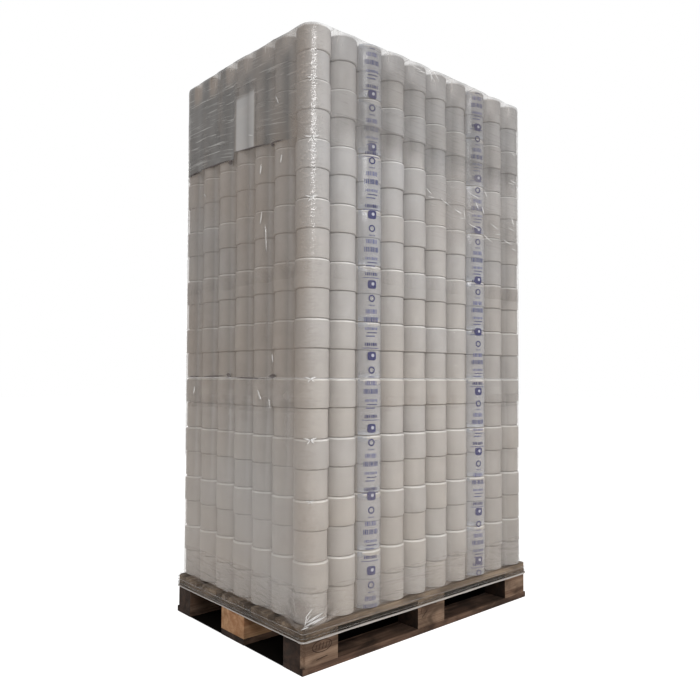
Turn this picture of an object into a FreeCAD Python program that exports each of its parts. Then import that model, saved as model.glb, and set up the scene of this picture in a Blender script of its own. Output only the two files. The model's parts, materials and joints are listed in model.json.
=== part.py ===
import FreeCAD, Part
import os
from math import sqrt

# Palletised load of film-wrapped toilet paper packs on a wooden pallet.
# Millimetres, +Z up. X runs along the pallet's long side, Y along its short side.
# The origin is on the floor, under the middle of the whole outline.

# Pallet
PALLET_LENGTH = 1200.0
PALLET_WIDTH = 800.0
BOARD_THICKNESS = 22.0
BLOCK_HEIGHT = 78.0
WIDE_BOARD = 145.0
NARROW_BOARD = 100.0
BLOCK_LENGTH = 145.0
CORNER_CHAMFER = 12.0

# Nails
NAIL_SHANK_RADIUS = 1.7
NAIL_HEAD_RADIUS = 4.5
NAIL_HEAD_THICKNESS = 1.5
NAIL_SINK = 0.5
NAIL_CLEARANCE = 0.05
NAIL_TIP_ROOM = 0.5
NAIL_END_DISTANCE = 27.5
NAIL_EDGE_DISTANCE = 20.0
DECK_NAIL_BITE = 44.0
BASE_NAIL_BITE = 46.0
STRINGER_NAIL_STOP = 4.0

# Packs: one row of rolls on end, in two tiers
ROLL_DIAMETER = 118.0
ROLL_HEIGHT = 97.0
ROLLS_WIDE = 5
ROLLS_HIGH = 2
PACK_FILM = 0.25
GROOVE_DEPTH = 30.0
RIM_HEIGHT = 3.0
RIM_INSET = 2.5
PACKS_LONG = 2
PACKS_DEEP = 7
PACK_GAP = 0.4
LAYERS = 10
LOAD_SHIFT_X = 8.0

# Stretch film around the load and the deck
WRAP_THICKNESS = 0.8
WRAP_CLEARANCE = 0.4
WRAP_FLARE_HEIGHT = 55.0
WRAP_SAG = 9.0
WRAP_SAG_RISE = 60.0
WRAP_LIP_WIDTH = 45.0

# Levels and places that follow from the sizes above
STRINGER_BOTTOM = BOARD_THICKNESS + BLOCK_HEIGHT
DECK_BOTTOM = STRINGER_BOTTOM + BOARD_THICKNESS
DECK_TOP = DECK_BOTTOM + BOARD_THICKNESS
PACK_HEIGHT = ROLLS_HIGH * ROLL_HEIGHT + 2 * PACK_FILM
TIER_HEIGHT = PACK_HEIGHT / ROLLS_HIGH
PACK_LENGTH = ROLLS_WIDE * ROLL_DIAMETER
LOAD_LENGTH = PACKS_LONG * PACK_LENGTH + (PACKS_LONG - 1) * PACK_GAP
LOAD_WIDTH = PACKS_DEEP * ROLL_DIAMETER + (PACKS_DEEP - 1) * PACK_GAP
LOAD_TOP = DECK_TOP + LAYERS * PACK_HEIGHT

# The lines between each roll and the next, along each side of the load
ROLLS_LONG = PACKS_LONG * ROLLS_WIDE
ROLL_LINES_X = [FreeCAD.Vector(LOAD_SHIFT_X + (number / ROLLS_LONG - 0.5) * LOAD_LENGTH, 0, 0)
                for number in range(1, ROLLS_LONG)]
ROLL_LINES_Y = [FreeCAD.Vector(0, (number / PACKS_DEEP - 0.5) * LOAD_WIDTH, 0)
                for number in range(1, PACKS_DEEP)]

# The load is flush with the pallet's front edge and hangs over its back edge
PALLET_Y = (PALLET_WIDTH - LOAD_WIDTH) / 2

# Rows of blocks across the pallet and columns along it
OUTER_ROW = (PALLET_WIDTH - NARROW_BOARD) / 2
ROWS = {
    "front": (PALLET_Y - OUTER_ROW, NARROW_BOARD),
    "middle": (PALLET_Y, WIDE_BOARD),
    "back": (PALLET_Y + OUTER_ROW, NARROW_BOARD),
}
OUTER_COLUMN = (PALLET_LENGTH - BLOCK_LENGTH) / 2
COLUMNS = {"left": -OUTER_COLUMN, "centre": 0.0, "right": OUTER_COLUMN}

# Deck boards, front to back, with equal gaps
DECK_WIDTHS = (WIDE_BOARD, NARROW_BOARD, WIDE_BOARD, NARROW_BOARD, WIDE_BOARD)
DECK_GAP = (PALLET_WIDTH - sum(DECK_WIDTHS)) / (len(DECK_WIDTHS) - 1)
INNER_DECK = WIDE_BOARD / 2 + DECK_GAP + NARROW_BOARD / 2

NAIL_SPREAD_X = BLOCK_LENGTH / 2 - NAIL_END_DISTANCE
NAIL_SPREAD_Y = NARROW_BOARD / 2 - NAIL_EDGE_DISTANCE
DECK_NAIL_LENGTH = 2 * BOARD_THICKNESS + DECK_NAIL_BITE
BASE_NAIL_LENGTH = BOARD_THICKNESS + BASE_NAIL_BITE
STRINGER_NAIL_LENGTH = 2 * BOARD_THICKNESS - STRINGER_NAIL_STOP


def point(x, y, z):
    return FreeCAD.Vector(x, y, z)


def board(x, y, length, width, low, high):
    """A plank or block centred on x and y, between two levels."""
    return Part.makeBox(length, width, high - low, point(x - length / 2, y - width / 2, low))


def pallet_timber():
    """The boards and blocks by name, before sawing and nailing."""
    timber = {}
    edge = PALLET_Y - PALLET_WIDTH / 2
    for number, width in enumerate(DECK_WIDTHS, 1):
        middle = edge + width / 2
        timber[f"deck_board_{number}"] = board(0, middle, PALLET_LENGTH, width, DECK_BOTTOM, DECK_TOP)
        edge += width + DECK_GAP
    for column, x in COLUMNS.items():
        timber[f"stringer_board_{column}"] = board(
            x, PALLET_Y, BLOCK_LENGTH, PALLET_WIDTH, STRINGER_BOTTOM, DECK_BOTTOM)
        for row, (y, width) in ROWS.items():
            timber[f"block_{row}_{column}"] = board(
                x, y, BLOCK_LENGTH, width, BOARD_THICKNESS, STRINGER_BOTTOM)
    for row, (y, width) in ROWS.items():
        timber[f"base_board_{row}"] = board(0, y, PALLET_LENGTH, width, 0, BOARD_THICKNESS)
    return timber


def corner_wedges():
    """What is sawn off the pallet's four upright corners, above the base boards."""
    wedges = []
    for side_x in (-1, 1):
        for side_y in (-1, 1):
            x = side_x * PALLET_LENGTH / 2
            y = PALLET_Y + side_y * PALLET_WIDTH / 2
            corner = point(x, y, BOARD_THICKNESS)
            outline = Part.makePolygon([
                corner,
                point(x - side_x * CORNER_CHAMFER, y, BOARD_THICKNESS),
                point(x, y - side_y * CORNER_CHAMFER, BOARD_THICKNESS),
                corner,
            ])
            wedges.append(Part.Face(outline).extrude(point(0, 0, DECK_TOP - BOARD_THICKNESS)))
    return wedges


def nail(x, y, face, way, length):
    """A nail driven up (way 1) or down (way -1) from a board's face, its head just under it."""
    axis = point(0, 0, way)
    top = face + way * NAIL_SINK
    head = Part.makeCylinder(NAIL_HEAD_RADIUS, NAIL_HEAD_THICKNESS, point(x, y, top), axis)
    neck = top + way * NAIL_HEAD_THICKNESS
    shank_length = length - NAIL_SINK - NAIL_HEAD_THICKNESS
    shank = Part.makeCylinder(NAIL_SHANK_RADIUS, shank_length, point(x, y, neck), axis)
    return head.fuse(shank)


def nail_hole(x, y, face, way, length):
    """The recess and hole that a nail sits in, with its clearance."""
    axis = point(0, 0, way)
    recess_depth = NAIL_SINK + NAIL_HEAD_THICKNESS + NAIL_CLEARANCE
    recess = Part.makeCylinder(NAIL_HEAD_RADIUS + NAIL_CLEARANCE, recess_depth, point(x, y, face), axis)
    hole = Part.makeCylinder(
        NAIL_SHANK_RADIUS + NAIL_CLEARANCE, length + NAIL_TIP_ROOM, point(x, y, face), axis)
    return recess.fuse(hole)


def nail_places():
    """Where each node's nails go: x, y, the level of the board's face, the way in and the length."""
    deck, stringer, base = [], [], []
    for x in COLUMNS.values():
        for y, _ in ROWS.values():
            for step in (-1, 0, 1):
                side = -1 if step else 1
                nail_x = x + step * NAIL_SPREAD_X
                deck.append((nail_x, y + side * NAIL_SPREAD_Y, DECK_TOP, -1, DECK_NAIL_LENGTH))
                base.append((nail_x, y - side * NAIL_SPREAD_Y, 0.0, 1, BASE_NAIL_LENGTH))
        for board_y in (PALLET_Y - INNER_DECK, PALLET_Y + INNER_DECK):
            for step_x in (-1, 1):
                for step_y in (-1, 1):
                    nail_x = x + step_x * NAIL_SPREAD_X
                    nail_y = board_y + step_y * NAIL_SPREAD_Y
                    stringer.append((nail_x, nail_y, DECK_TOP, -1, STRINGER_NAIL_LENGTH))
    return {"deck_nails": deck, "stringer_nails": stringer, "base_nails": base}


def pallet():
    """The pallet's nodes: timber with sawn corners and nail holes, and the nails."""
    places = nail_places()
    holes = [nail_hole(*place) for group in places.values() for place in group]
    cutters = corner_wedges() + holes
    nodes = {}
    for name, solid in pallet_timber().items():
        met = [cutter for cutter in cutters if cutter.BoundBox.intersect(solid.BoundBox)]
        nodes[name] = solid.cut(met)
    for name, group in places.items():
        nodes[name] = Part.makeCompound([nail(*place) for place in group])
    return nodes


def pack_face(inset, level):
    """A row of rolls seen from above: round ends, and a groove between each roll and the next."""
    radius = ROLL_DIAMETER / 2 - inset
    web = ROLL_DIAMETER / 2 - GROOVE_DEPTH - inset
    reach = sqrt(radius ** 2 - web ** 2)
    first = (ROLL_DIAMETER - PACK_LENGTH) / 2
    centres = [first + index * ROLL_DIAMETER for index in range(ROLLS_WIDE)]
    edges = []
    for x, way in ((centres[0], -1), (centres[-1], 1)):
        edges.append(Part.Arc(
            point(x - way * reach, -web, level),
            point(x + way * radius, 0, level),
            point(x - way * reach, web, level)).toShape())
    for side in (-1, 1):
        for x in centres[1:-1]:
            edges.append(Part.Arc(
                point(x - reach, side * web, level),
                point(x, side * radius, level),
                point(x + reach, side * web, level)).toShape())
        for x, following in zip(centres, centres[1:]):
            edges.append(Part.makeLine(
                point(x + reach, side * web, level), point(following - reach, side * web, level)))
    return Part.Face(Part.Wire(Part.__sortEdges__(edges)))


def pack():
    """One pack standing on the XY plane: a body for each tier, and a rim set back between tiers."""
    bands = []
    for tier in range(ROLLS_HIGH):
        low = tier * TIER_HEIGHT + (RIM_HEIGHT / 2 if tier else 0)
        high = (tier + 1) * TIER_HEIGHT - (RIM_HEIGHT / 2 if tier < ROLLS_HIGH - 1 else 0)
        bands.append(pack_face(0, low).extrude(point(0, 0, high - low)))
        if tier:
            bands.append(pack_face(RIM_INSET, low - RIM_HEIGHT).extrude(point(0, 0, RIM_HEIGHT)))
    return bands[0].fuse(bands[1:])


def load():
    """Each layer has a row of packs per stack, and each row is one node, counted from the left."""
    whole = pack()
    nodes = {}
    for layer in range(LAYERS):
        for stack in range(PACKS_LONG):
            x = LOAD_SHIFT_X + (stack - (PACKS_LONG - 1) / 2) * (PACK_LENGTH + PACK_GAP)
            packs = []
            for place in range(PACKS_DEEP):
                y = (place - (PACKS_DEEP - 1) / 2) * (ROLL_DIAMETER + PACK_GAP)
                packs.append(whole.translated(point(x, y, DECK_TOP + layer * PACK_HEIGHT)))
            nodes[f"packs_layer_{layer + 1:02d}_stack_{stack + 1}"] = Part.makeCompound(packs)
    return nodes


def half_bulge(top, cusp, out, sag):
    """The point halfway round the film's bend from the top of a bulge to the cusp beside it."""
    along = cusp - top + out * sag
    bend = (along.Length ** 2 + sag ** 2) / (2 * sag)
    depth = bend - sqrt(bend ** 2 - (along.Length / 2) ** 2)
    return top + along * 0.5 - out * depth


def side_edges(start, end, out, lines, sag):
    """A side from start to end. It sinks by sag at each line between two rolls and bulges over the rolls."""
    along = (end - start).normalize()
    places = sorted(along.dot(line) for line in lines)
    cusps = [start + along * (place - along.dot(start)) - out * sag for place in places]
    stops = [start] + cusps + [end]
    if sag == 0:
        return [Part.makeLine(*pair) for pair in zip(stops, stops[1:])]
    middles = [half_bulge(start, cusps[0], out, sag)]
    middles += [(cusp + following) * 0.5 + out * sag for cusp, following in zip(cusps, cusps[1:])]
    middles.append(half_bulge(end, cusps[-1], out, sag))
    return [Part.Arc(*trio).toShape() for trio in zip(stops, middles, stops[1:])]


def outline(area, grow, radius, sag, level):
    """A rounded rectangle round an area (left, front, right, back), grown all round."""
    bend = radius + grow
    left, front = area[0] - grow + bend, area[1] - grow + bend
    right, back = area[2] + grow - bend, area[3] + grow - bend
    centres = [point(x, y, level) for x, y in ((right, front), (right, back), (left, back), (left, front))]
    ways = (point(1, 0, 0), point(0, 1, 0), point(-1, 0, 0), point(0, -1, 0))
    edges = []
    for index, out in enumerate(ways):
        centre, following = centres[index], centres[(index + 1) % 4]
        before = ways[index - 1]
        slant = (out + before) * (bend / sqrt(2))
        edges.append(Part.Arc(centre + before * bend, centre + slant, centre + out * bend).toShape())
        lines = ROLL_LINES_Y if index % 2 == 0 else ROLL_LINES_X
        edges += side_edges(centre + out * bend, following + out * bend, out, lines, sag)
    return Part.Wire(edges)


def stretch_wrap():
    """Film round the load, spread over the deck's edge at its foot and folded in at its top."""
    half_length = PALLET_LENGTH / 2
    pallet_area = (-half_length, PALLET_Y - PALLET_WIDTH / 2, half_length, PALLET_Y + PALLET_WIDTH / 2)
    half_load = LOAD_LENGTH / 2
    load_area = (LOAD_SHIFT_X - half_load, -LOAD_WIDTH / 2, LOAD_SHIFT_X + half_load, LOAD_WIDTH / 2)
    both = tuple(min(pair) for pair in zip(pallet_area[:2], load_area[:2]))
    both += tuple(max(pair) for pair in zip(pallet_area[2:], load_area[2:]))
    load_bend = ROLL_DIAMETER / 2
    flare_top = DECK_TOP + WRAP_FLARE_HEIGHT
    inner_top = LOAD_TOP + WRAP_CLEARANCE
    sections = (
        (pallet_area, CORNER_CHAMFER, 0.0, STRINGER_BOTTOM),
        (both, CORNER_CHAMFER, 0.0, DECK_TOP - WRAP_CLEARANCE),
        (both, CORNER_CHAMFER, 0.0, DECK_TOP + WRAP_CLEARANCE),
        (load_area, load_bend, 0.0, flare_top),
        (load_area, load_bend, WRAP_SAG, flare_top + WRAP_SAG_RISE),
    )
    grown = WRAP_CLEARANCE + WRAP_THICKNESS
    outside = [outline(area, grown, *rest) for area, *rest in sections]
    outside.append(outline(load_area, grown, load_bend, WRAP_SAG, inner_top + WRAP_THICKNESS))
    inside = [outline(area, WRAP_CLEARANCE, *rest) for area, *rest in sections]
    inside.append(outline(load_area, WRAP_CLEARANCE, load_bend, WRAP_SAG, inner_top))
    opening = Part.Face(outline(load_area, -WRAP_LIP_WIDTH, load_bend, 0.0, LOAD_TOP))
    way_in = opening.extrude(point(0, 0, 2 * (WRAP_CLEARANCE + WRAP_THICKNESS)))
    return Part.makeLoft(outside, True, True).cut([Part.makeLoft(inside, True, True), way_in])


def main():
    nodes = pallet()
    nodes.update(load())
    nodes["stretch_wrap"] = stretch_wrap()
    os.makedirs("parts", exist_ok=True)
    for name, shape in nodes.items():
        shape.exportStep(f"parts/{name}.step")


main()
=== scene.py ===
"""Finish of a pallet load of toilet rolls: timber pallet, clear packs of rolls and stretch film.

Everything is in metres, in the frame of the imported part: +Z up, the floor at zero, the front long
side towards -Y and the left short side towards -X.
"""

from __future__ import annotations

import json
import logging
import math
import random
from collections.abc import Callable, Iterable
from dataclasses import dataclass, field
from enum import Enum

import bmesh
import bpy
from mathutils import Matrix, Vector, noise

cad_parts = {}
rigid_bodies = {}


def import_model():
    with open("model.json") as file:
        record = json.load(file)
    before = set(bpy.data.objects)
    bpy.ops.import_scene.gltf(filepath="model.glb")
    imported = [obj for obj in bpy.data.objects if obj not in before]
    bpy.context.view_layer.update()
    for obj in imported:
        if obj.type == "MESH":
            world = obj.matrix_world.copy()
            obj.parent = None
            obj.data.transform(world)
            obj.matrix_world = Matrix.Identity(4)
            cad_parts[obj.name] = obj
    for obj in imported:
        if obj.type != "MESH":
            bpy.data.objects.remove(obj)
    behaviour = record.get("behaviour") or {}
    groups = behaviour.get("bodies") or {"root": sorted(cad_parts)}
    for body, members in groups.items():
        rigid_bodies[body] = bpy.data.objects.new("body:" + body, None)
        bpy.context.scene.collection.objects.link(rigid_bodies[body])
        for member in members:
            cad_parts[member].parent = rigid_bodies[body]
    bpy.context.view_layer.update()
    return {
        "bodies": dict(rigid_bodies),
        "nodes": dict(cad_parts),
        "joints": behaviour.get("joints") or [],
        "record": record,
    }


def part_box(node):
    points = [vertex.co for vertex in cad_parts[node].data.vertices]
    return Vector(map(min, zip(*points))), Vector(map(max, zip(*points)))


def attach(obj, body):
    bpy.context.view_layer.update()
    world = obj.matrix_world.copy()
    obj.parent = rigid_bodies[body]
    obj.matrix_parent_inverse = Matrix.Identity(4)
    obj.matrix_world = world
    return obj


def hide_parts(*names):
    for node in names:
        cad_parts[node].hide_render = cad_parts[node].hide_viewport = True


LOG = logging.getLogger("pallet_load")
MM = 0.001
ROOT = "root"

MIX_INPUTS = (0, 6, 7)
MIX_OUTPUT = 2
HEM_ROW = 3.0 * MM
JOIN_GAP = 0.01 * MM
FILM_VALUES = ("haze", "deep", "tint", "corner", "slack", "drawn")

Colour = tuple[float, float, float]
Creases = tuple[tuple[float, float, float, float, float], ...]


def srgb(red: int, green: int, blue: int) -> Colour:
    """Turns a colour of 0 to 255 a channel into the linear one that shaders take.

    Args:
        red: Red channel.
        green: Green channel.
        blue: Blue channel.

    Returns:
        The linear colour.
    """
    channels = []
    for value in (red, green, blue):
        share = value / 255
        channels.append(share / 12.92 if share <= 0.04045 else ((share + 0.055) / 1.055) ** 2.4)
    return channels[0], channels[1], channels[2]


def ease(value: float, start: float, end: float) -> float:
    """Goes smoothly from 0 at start to 1 at end.

    Args:
        value: Where to read the curve.
        start: Where it leaves 0.
        end: Where it reaches 1.

    Returns:
        A share from 0 to 1.
    """
    share = min(1.0, max(0.0, (value - start) / (end - start)))
    return share * share * (3 - 2 * share)


def ripple(*place: float) -> float:
    """Smooth noise from about -1 to 1 at a place of up to three numbers."""
    return noise.noise(Vector((*place, 0.0, 0.0)[:3]))


class Grain(Enum):
    """The way that the fibres of a piece of timber run."""

    ALONG_LENGTH = "x"
    ALONG_WIDTH = "y"


class Face(Enum):
    """The sides of the load, in order round it from the front."""

    FRONT = 0
    RIGHT = 1
    BACK = 2
    LEFT = 3


class Nodes:
    """Short ways to add and join shader nodes in one tree."""

    def __init__(self, tree: bpy.types.NodeTree) -> None:
        """Keeps the tree that is built on."""
        self.tree = tree

    def add(self, kind: str, **settings: object) -> bpy.types.Node:
        """Adds a node.

        Args:
            kind: The node's class name without its ShaderNode prefix.
            **settings: Values for the node's own properties.

        Returns:
            The new node.
        """
        prefix = "" if kind.startswith("NodeGroup") else "ShaderNode"
        node = self.tree.nodes.new(prefix + kind)
        for name, value in settings.items():
            setattr(node, name, value)
        return node

    def feed(self, node: bpy.types.Node, **inputs: object) -> bpy.types.Node:
        """Sets or joins a node's inputs.

        Args:
            node: The node that is fed.
            **inputs: Socket names with underscores for spaces, each with a value or an output socket.

        Returns:
            The same node.
        """
        for name, value in inputs.items():
            self.put(node.inputs[name.replace("_", " ")], value)
        return node

    def put(self, socket: bpy.types.NodeSocket, value: object) -> None:
        """Sets one input, or joins it to an output.

        Args:
            socket: The input.
            value: A number, a colour or an output socket.
        """
        if isinstance(value, bpy.types.NodeSocket):
            self.tree.links.new(value, socket)
        elif isinstance(value, tuple) and len(value) == 3 and socket.type == "RGBA":
            socket.default_value = (*value, 1.0)
        else:
            socket.default_value = value

    def noise(self, vector: bpy.types.NodeSocket, scale: float, detail: float = 3.0,
              distortion: float = 0.0) -> bpy.types.NodeSocket:
        """Adds a noise texture.

        Args:
            vector: Where it is read.
            scale: Its scale.
            detail: Its octaves.
            distortion: How far it is twisted.

        Returns:
            The noise's value.
        """
        node = self.feed(self.add("TexNoise"), Vector=vector, Scale=scale, Detail=detail,
                         Distortion=distortion)
        return node.outputs["Fac"]

    def stretched(self, vector: bpy.types.NodeSocket, scale: Colour,
                  turn: float = 0.0) -> bpy.types.NodeSocket:
        """Scales and turns a place before a texture reads it.

        Args:
            vector: The place.
            scale: Scale along each axis.
            turn: Turn about Z in degrees, before the scale.

        Returns:
            The new place.
        """
        turned = vector
        if turn:
            spin = self.add("VectorRotate", rotation_type="Z_AXIS")
            turned = self.feed(spin, Vector=vector, Angle=math.radians(turn)).outputs["Vector"]
        mapping = self.add("Mapping")
        return self.feed(mapping, Vector=turned, Scale=scale).outputs["Vector"]

    def ramp(self, value: bpy.types.NodeSocket, start: float, end: float,
             low: float = 0.0, high: float = 1.0) -> bpy.types.NodeSocket:
        """Maps a range of a value to another range, smoothly and clamped.

        Args:
            value: The value.
            start: Where the range starts.
            end: Where it ends.
            low: The result at start.
            high: The result at end.

        Returns:
            The mapped value.
        """
        node = self.add("MapRange", interpolation_type="SMOOTHSTEP")
        self.feed(node, Value=value, From_Min=start, From_Max=end, To_Min=low, To_Max=high)
        return node.outputs["Result"]

    def math(self, operation: str, *values: object) -> bpy.types.NodeSocket:
        """Joins two or more values by one operation, from the first to the last.

        Args:
            operation: The Math node's operation.
            *values: Numbers or sockets.

        Returns:
            The result.
        """
        result = values[0]
        for value in values[1:]:
            node = self.add("Math", operation=operation)
            self.put(node.inputs[0], result)
            self.put(node.inputs[1], value)
            result = node.outputs["Value"]
        return result

    def times(self, *values: object) -> bpy.types.NodeSocket:
        """The product of values."""
        return self.math("MULTIPLY", *values)

    def plus(self, *values: object) -> bpy.types.NodeSocket:
        """The sum of values."""
        return self.math("ADD", *values)

    def most(self, *values: object) -> bpy.types.NodeSocket:
        """The highest of values."""
        return self.math("MAXIMUM", *values)

    def mix(self, share: object, first: object, second: object) -> bpy.types.NodeSocket:
        """Mixes two colours.

        Args:
            share: How much of the second colour shows.
            first: A colour or socket.
            second: A colour or socket.

        Returns:
            The mixed colour.
        """
        node = self.add("Mix", data_type="RGBA")
        for index, value in zip(MIX_INPUTS, (share, first, second)):
            self.put(node.inputs[index], value)
        return node.outputs[MIX_OUTPUT]

    def attribute(self, name: str) -> bpy.types.NodeSocket:
        """The value of a mesh attribute."""
        return self.add("Attribute", attribute_name=name).outputs["Fac"]

    def bump(self, height: bpy.types.NodeSocket, distance: float,
             strength: float = 1.0) -> bpy.types.NodeSocket:
        """Turns a height into a normal.

        Args:
            height: The height, from 0 to 1.
            distance: How far 1 stands out, in metres.
            strength: How strongly it shows.

        Returns:
            The normal.
        """
        node = self.feed(self.add("Bump"), Height=height, Distance=distance, Strength=strength)
        return node.outputs["Normal"]


def new_material(name: str) -> tuple[bpy.types.Material, Nodes, bpy.types.Node]:
    """Starts a material.

    Args:
        name: The material's name.

    Returns:
        The material, its nodes and its Principled BSDF.
    """
    material = bpy.data.materials.new(name)
    material.use_nodes = True
    return material, Nodes(material.node_tree), material.node_tree.nodes["Principled BSDF"]


def new_group(name: str, inputs: dict[str, str], outputs: dict[str, str]) -> tuple[
        bpy.types.NodeTree, Nodes, bpy.types.Node, bpy.types.Node]:
    """Starts a shader node group with named sockets.

    Args:
        name: The group's name.
        inputs: Input names with their socket kinds.
        outputs: Output names with their socket kinds.

    Returns:
        The group, its nodes, its input node and its output node.
    """
    group = bpy.data.node_groups.new(name, "ShaderNodeTree")
    for label, kind in inputs.items():
        group.interface.new_socket(label, in_out="INPUT", socket_type="NodeSocket" + kind)
    for label, kind in outputs.items():
        group.interface.new_socket(label, in_out="OUTPUT", socket_type="NodeSocket" + kind)
    nodes = Nodes(group)
    return group, nodes, nodes.add("NodeGroupInput"), nodes.add("NodeGroupOutput")


class Effects:
    """The shader effects that several finishes share, built once."""

    def __init__(self) -> None:
        """Builds the groups."""
        self.timber = self.timber_grain()
        self.creases = self.film_creases()

    def timber_grain(self) -> bpy.types.NodeTree:
        """Fibres, growth bands and dirt of sawn timber, with the fibres along X."""
        group, nodes, given, out = new_group(
            "timber_grain",
            {"Vector": "Vector", "Pale": "Color", "Dark": "Color", "Dirt": "Color", "Dirt Share": "Float"},
            {"Color": "Color", "Roughness": "Float", "Height": "Float"})
        place = given.outputs["Vector"]
        bands = nodes.noise(nodes.stretched(place, (1.5, 26.0, 26.0)), 1.6, 4.0, 0.6)
        fibres = nodes.noise(nodes.stretched(place, (9.0, 420.0, 420.0)), 1.0, 5.0, 0.2)
        saw = nodes.noise(nodes.stretched(place, (260.0, 12.0, 12.0)), 1.0, 2.0)
        grain = nodes.plus(nodes.times(bands, 0.62), nodes.times(fibres, 0.38))
        colour = nodes.mix(nodes.ramp(grain, 0.36, 0.62), given.outputs["Pale"], given.outputs["Dark"])
        patches = nodes.noise(nodes.stretched(place, (7.0, 16.0, 16.0)), 1.0, 6.0, 0.8)
        soiled = nodes.times(nodes.ramp(patches, 0.38, 0.68), given.outputs["Dirt Share"])
        colour = nodes.mix(soiled, colour, given.outputs["Dirt"])
        height = nodes.plus(nodes.times(fibres, 0.6), nodes.times(saw, 0.4))
        nodes.feed(out, Color=colour, Roughness=nodes.ramp(patches, 0.3, 0.7, 0.72, 0.92), Height=height)
        return group

    def film_creases(self) -> bpy.types.NodeTree:
        """Fine creases of stretched film, read in metres round the load and up it, with painted highlight
        dashes on the near corner.
        """
        group, nodes, given, out = new_group(
            "film_creases",
            {"Vector": "Vector", "Corner": "Float", "Slack": "Float", "Drawn": "Float"},
            {"Height": "Float", "Streaks": "Float", "Blotches": "Float"})
        place, corner, loose, drawn = (given.outputs[name] for name in ("Vector", "Corner", "Slack", "Drawn"))
        level = nodes.noise(nodes.stretched(place, (6.0, 150.0, 1.0), 3.0), 1.0, 4.0, 0.9)
        rungs = nodes.noise(nodes.stretched(place, (40.0, 125.0, 1.0)), 1.0, 2.0, 0.3)
        broad = nodes.noise(nodes.stretched(place, (4.5, 5.5, 1.0)), 1.0, 4.0, 0.5)
        soft = nodes.noise(nodes.stretched(place, (24.0, 10.0, 1.0)), 1.0, 3.0, 0.7)
        upright = nodes.noise(nodes.stretched(place, (110.0, 9.0, 1.0), 8.0), 1.0, 3.0, 1.0)
        slack = nodes.times(nodes.plus(nodes.times(soft, 1.4), nodes.times(upright, 0.8)), loose)
        taut = nodes.times(nodes.times(level, nodes.plus(drawn, 0.08)), 1.6)
        rung = nodes.times(rungs, nodes.times(corner, 1.7))
        height = nodes.plus(slack, taut, rung)
        lines = nodes.times(nodes.ramp(level, 0.56, 0.66), drawn)
        threads = nodes.times(nodes.ramp(upright, 0.58, 0.70), nodes.ramp(loose, 0.3, 1.0))
        # painted highlight: pale dashes on the near corner where the film's reflection breaks up
        painted_highlight_dashes = nodes.times(nodes.ramp(rungs, 0.50, 0.62), corner, 0.5)
        streaks = nodes.most(lines, threads, painted_highlight_dashes)
        blotches = nodes.ramp(broad, 0.28, 0.74)
        nodes.feed(out, Height=height, Streaks=streaks, Blotches=blotches)
        return group


@dataclass(frozen=True)
class TimberFinish:
    """Sawn softwood, more or less weathered."""

    name: str
    pale: Colour
    dark: Colour
    dirt: Colour
    dirt_share: float
    grain: Grain = Grain.ALONG_LENGTH

    def build(self, effects: Effects) -> bpy.types.Material:
        """Makes the material.

        Args:
            effects: The shared shader groups.

        Returns:
            The material.
        """
        material, nodes, surface = new_material(self.name)
        place = nodes.add("TexCoord").outputs["Object"]
        if self.grain is Grain.ALONG_WIDTH:
            spin = nodes.add("VectorRotate", rotation_type="Z_AXIS")
            place = nodes.feed(spin, Vector=place, Angle=math.pi / 2).outputs["Vector"]
        wood = nodes.add("Group", node_tree=effects.timber)
        nodes.feed(wood, Vector=place, Pale=self.pale, Dark=self.dark, Dirt=self.dirt,
                   Dirt_Share=self.dirt_share)
        nodes.feed(surface, Base_Color=wood.outputs["Color"], Roughness=wood.outputs["Roughness"],
                   Specular_IOR_Level=0.25, Normal=nodes.bump(wood.outputs["Height"], 0.9 * MM, 0.9))
        return material


@dataclass(frozen=True)
class SteelFinish:
    """Dull nail steel with rust."""

    name: str
    steel: Colour
    rust: Colour

    def build(self) -> bpy.types.Material:
        """Makes the material."""
        material, nodes, surface = new_material(self.name)
        place = nodes.add("TexCoord").outputs["Object"]
        spots = nodes.ramp(nodes.noise(place, 420.0, 4.0), 0.42, 0.6)
        nodes.feed(surface, Base_Color=nodes.mix(spots, self.steel, self.rust),
                   Metallic=nodes.ramp(spots, 0.0, 1.0, 0.9, 0.1),
                   Roughness=nodes.ramp(spots, 0.0, 1.0, 0.4, 0.85))
        return material


@dataclass(frozen=True)
class TissueFinish:
    """White tissue seen through the thin clear film of a pack."""

    name: str
    cool: Colour
    warm: Colour
    film_gloss: float
    roughness: float

    def build(self) -> bpy.types.Material:
        """Makes the material."""
        material, nodes, surface = new_material(self.name)
        place = nodes.add("TexCoord").outputs["Object"]
        colour = nodes.mix(nodes.attribute("tone"), self.cool, self.warm)
        mottle = nodes.ramp(nodes.noise(place, 13.0, 5.0, 0.6), 0.3, 0.7, 0.0, 0.22)
        colour = nodes.mix(mottle, colour, srgb(146, 142, 138))
        turns = nodes.add("TexWave", wave_type="BANDS")
        rings = nodes.add("CombineXYZ")
        nodes.feed(rings, X=nodes.attribute("from_axis"))
        nodes.feed(turns, Vector=rings.outputs["Vector"], Scale=150.0, Distortion=0.0)
        emboss = nodes.noise(nodes.stretched(place, (70.0, 70.0, 260.0)), 1.0, 3.0)
        height = nodes.plus(nodes.times(emboss, 0.8), nodes.times(turns.outputs["Fac"], 0.25))
        nodes.feed(surface, Base_Color=colour, Roughness=self.roughness, Coat_Weight=self.film_gloss,
                   Coat_Roughness=0.22, Specular_IOR_Level=0.35, Normal=nodes.bump(height, 0.15 * MM, 0.8))
        return material


@dataclass(frozen=True)
class CardFinish:
    """Grey-brown card of a roll's core."""

    name: str
    card: Colour
    shade: Colour

    def build(self) -> bpy.types.Material:
        """Makes the material."""
        material, nodes, surface = new_material(self.name)
        place = nodes.add("TexCoord").outputs["Object"]
        fibres = nodes.noise(nodes.stretched(place, (60.0, 60.0, 240.0)), 1.0, 4.0)
        nodes.feed(surface, Base_Color=nodes.mix(nodes.ramp(fibres, 0.3, 0.7), self.card, self.shade),
                   Roughness=0.85, Normal=nodes.bump(fibres, 0.2 * MM))
        return material


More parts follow.
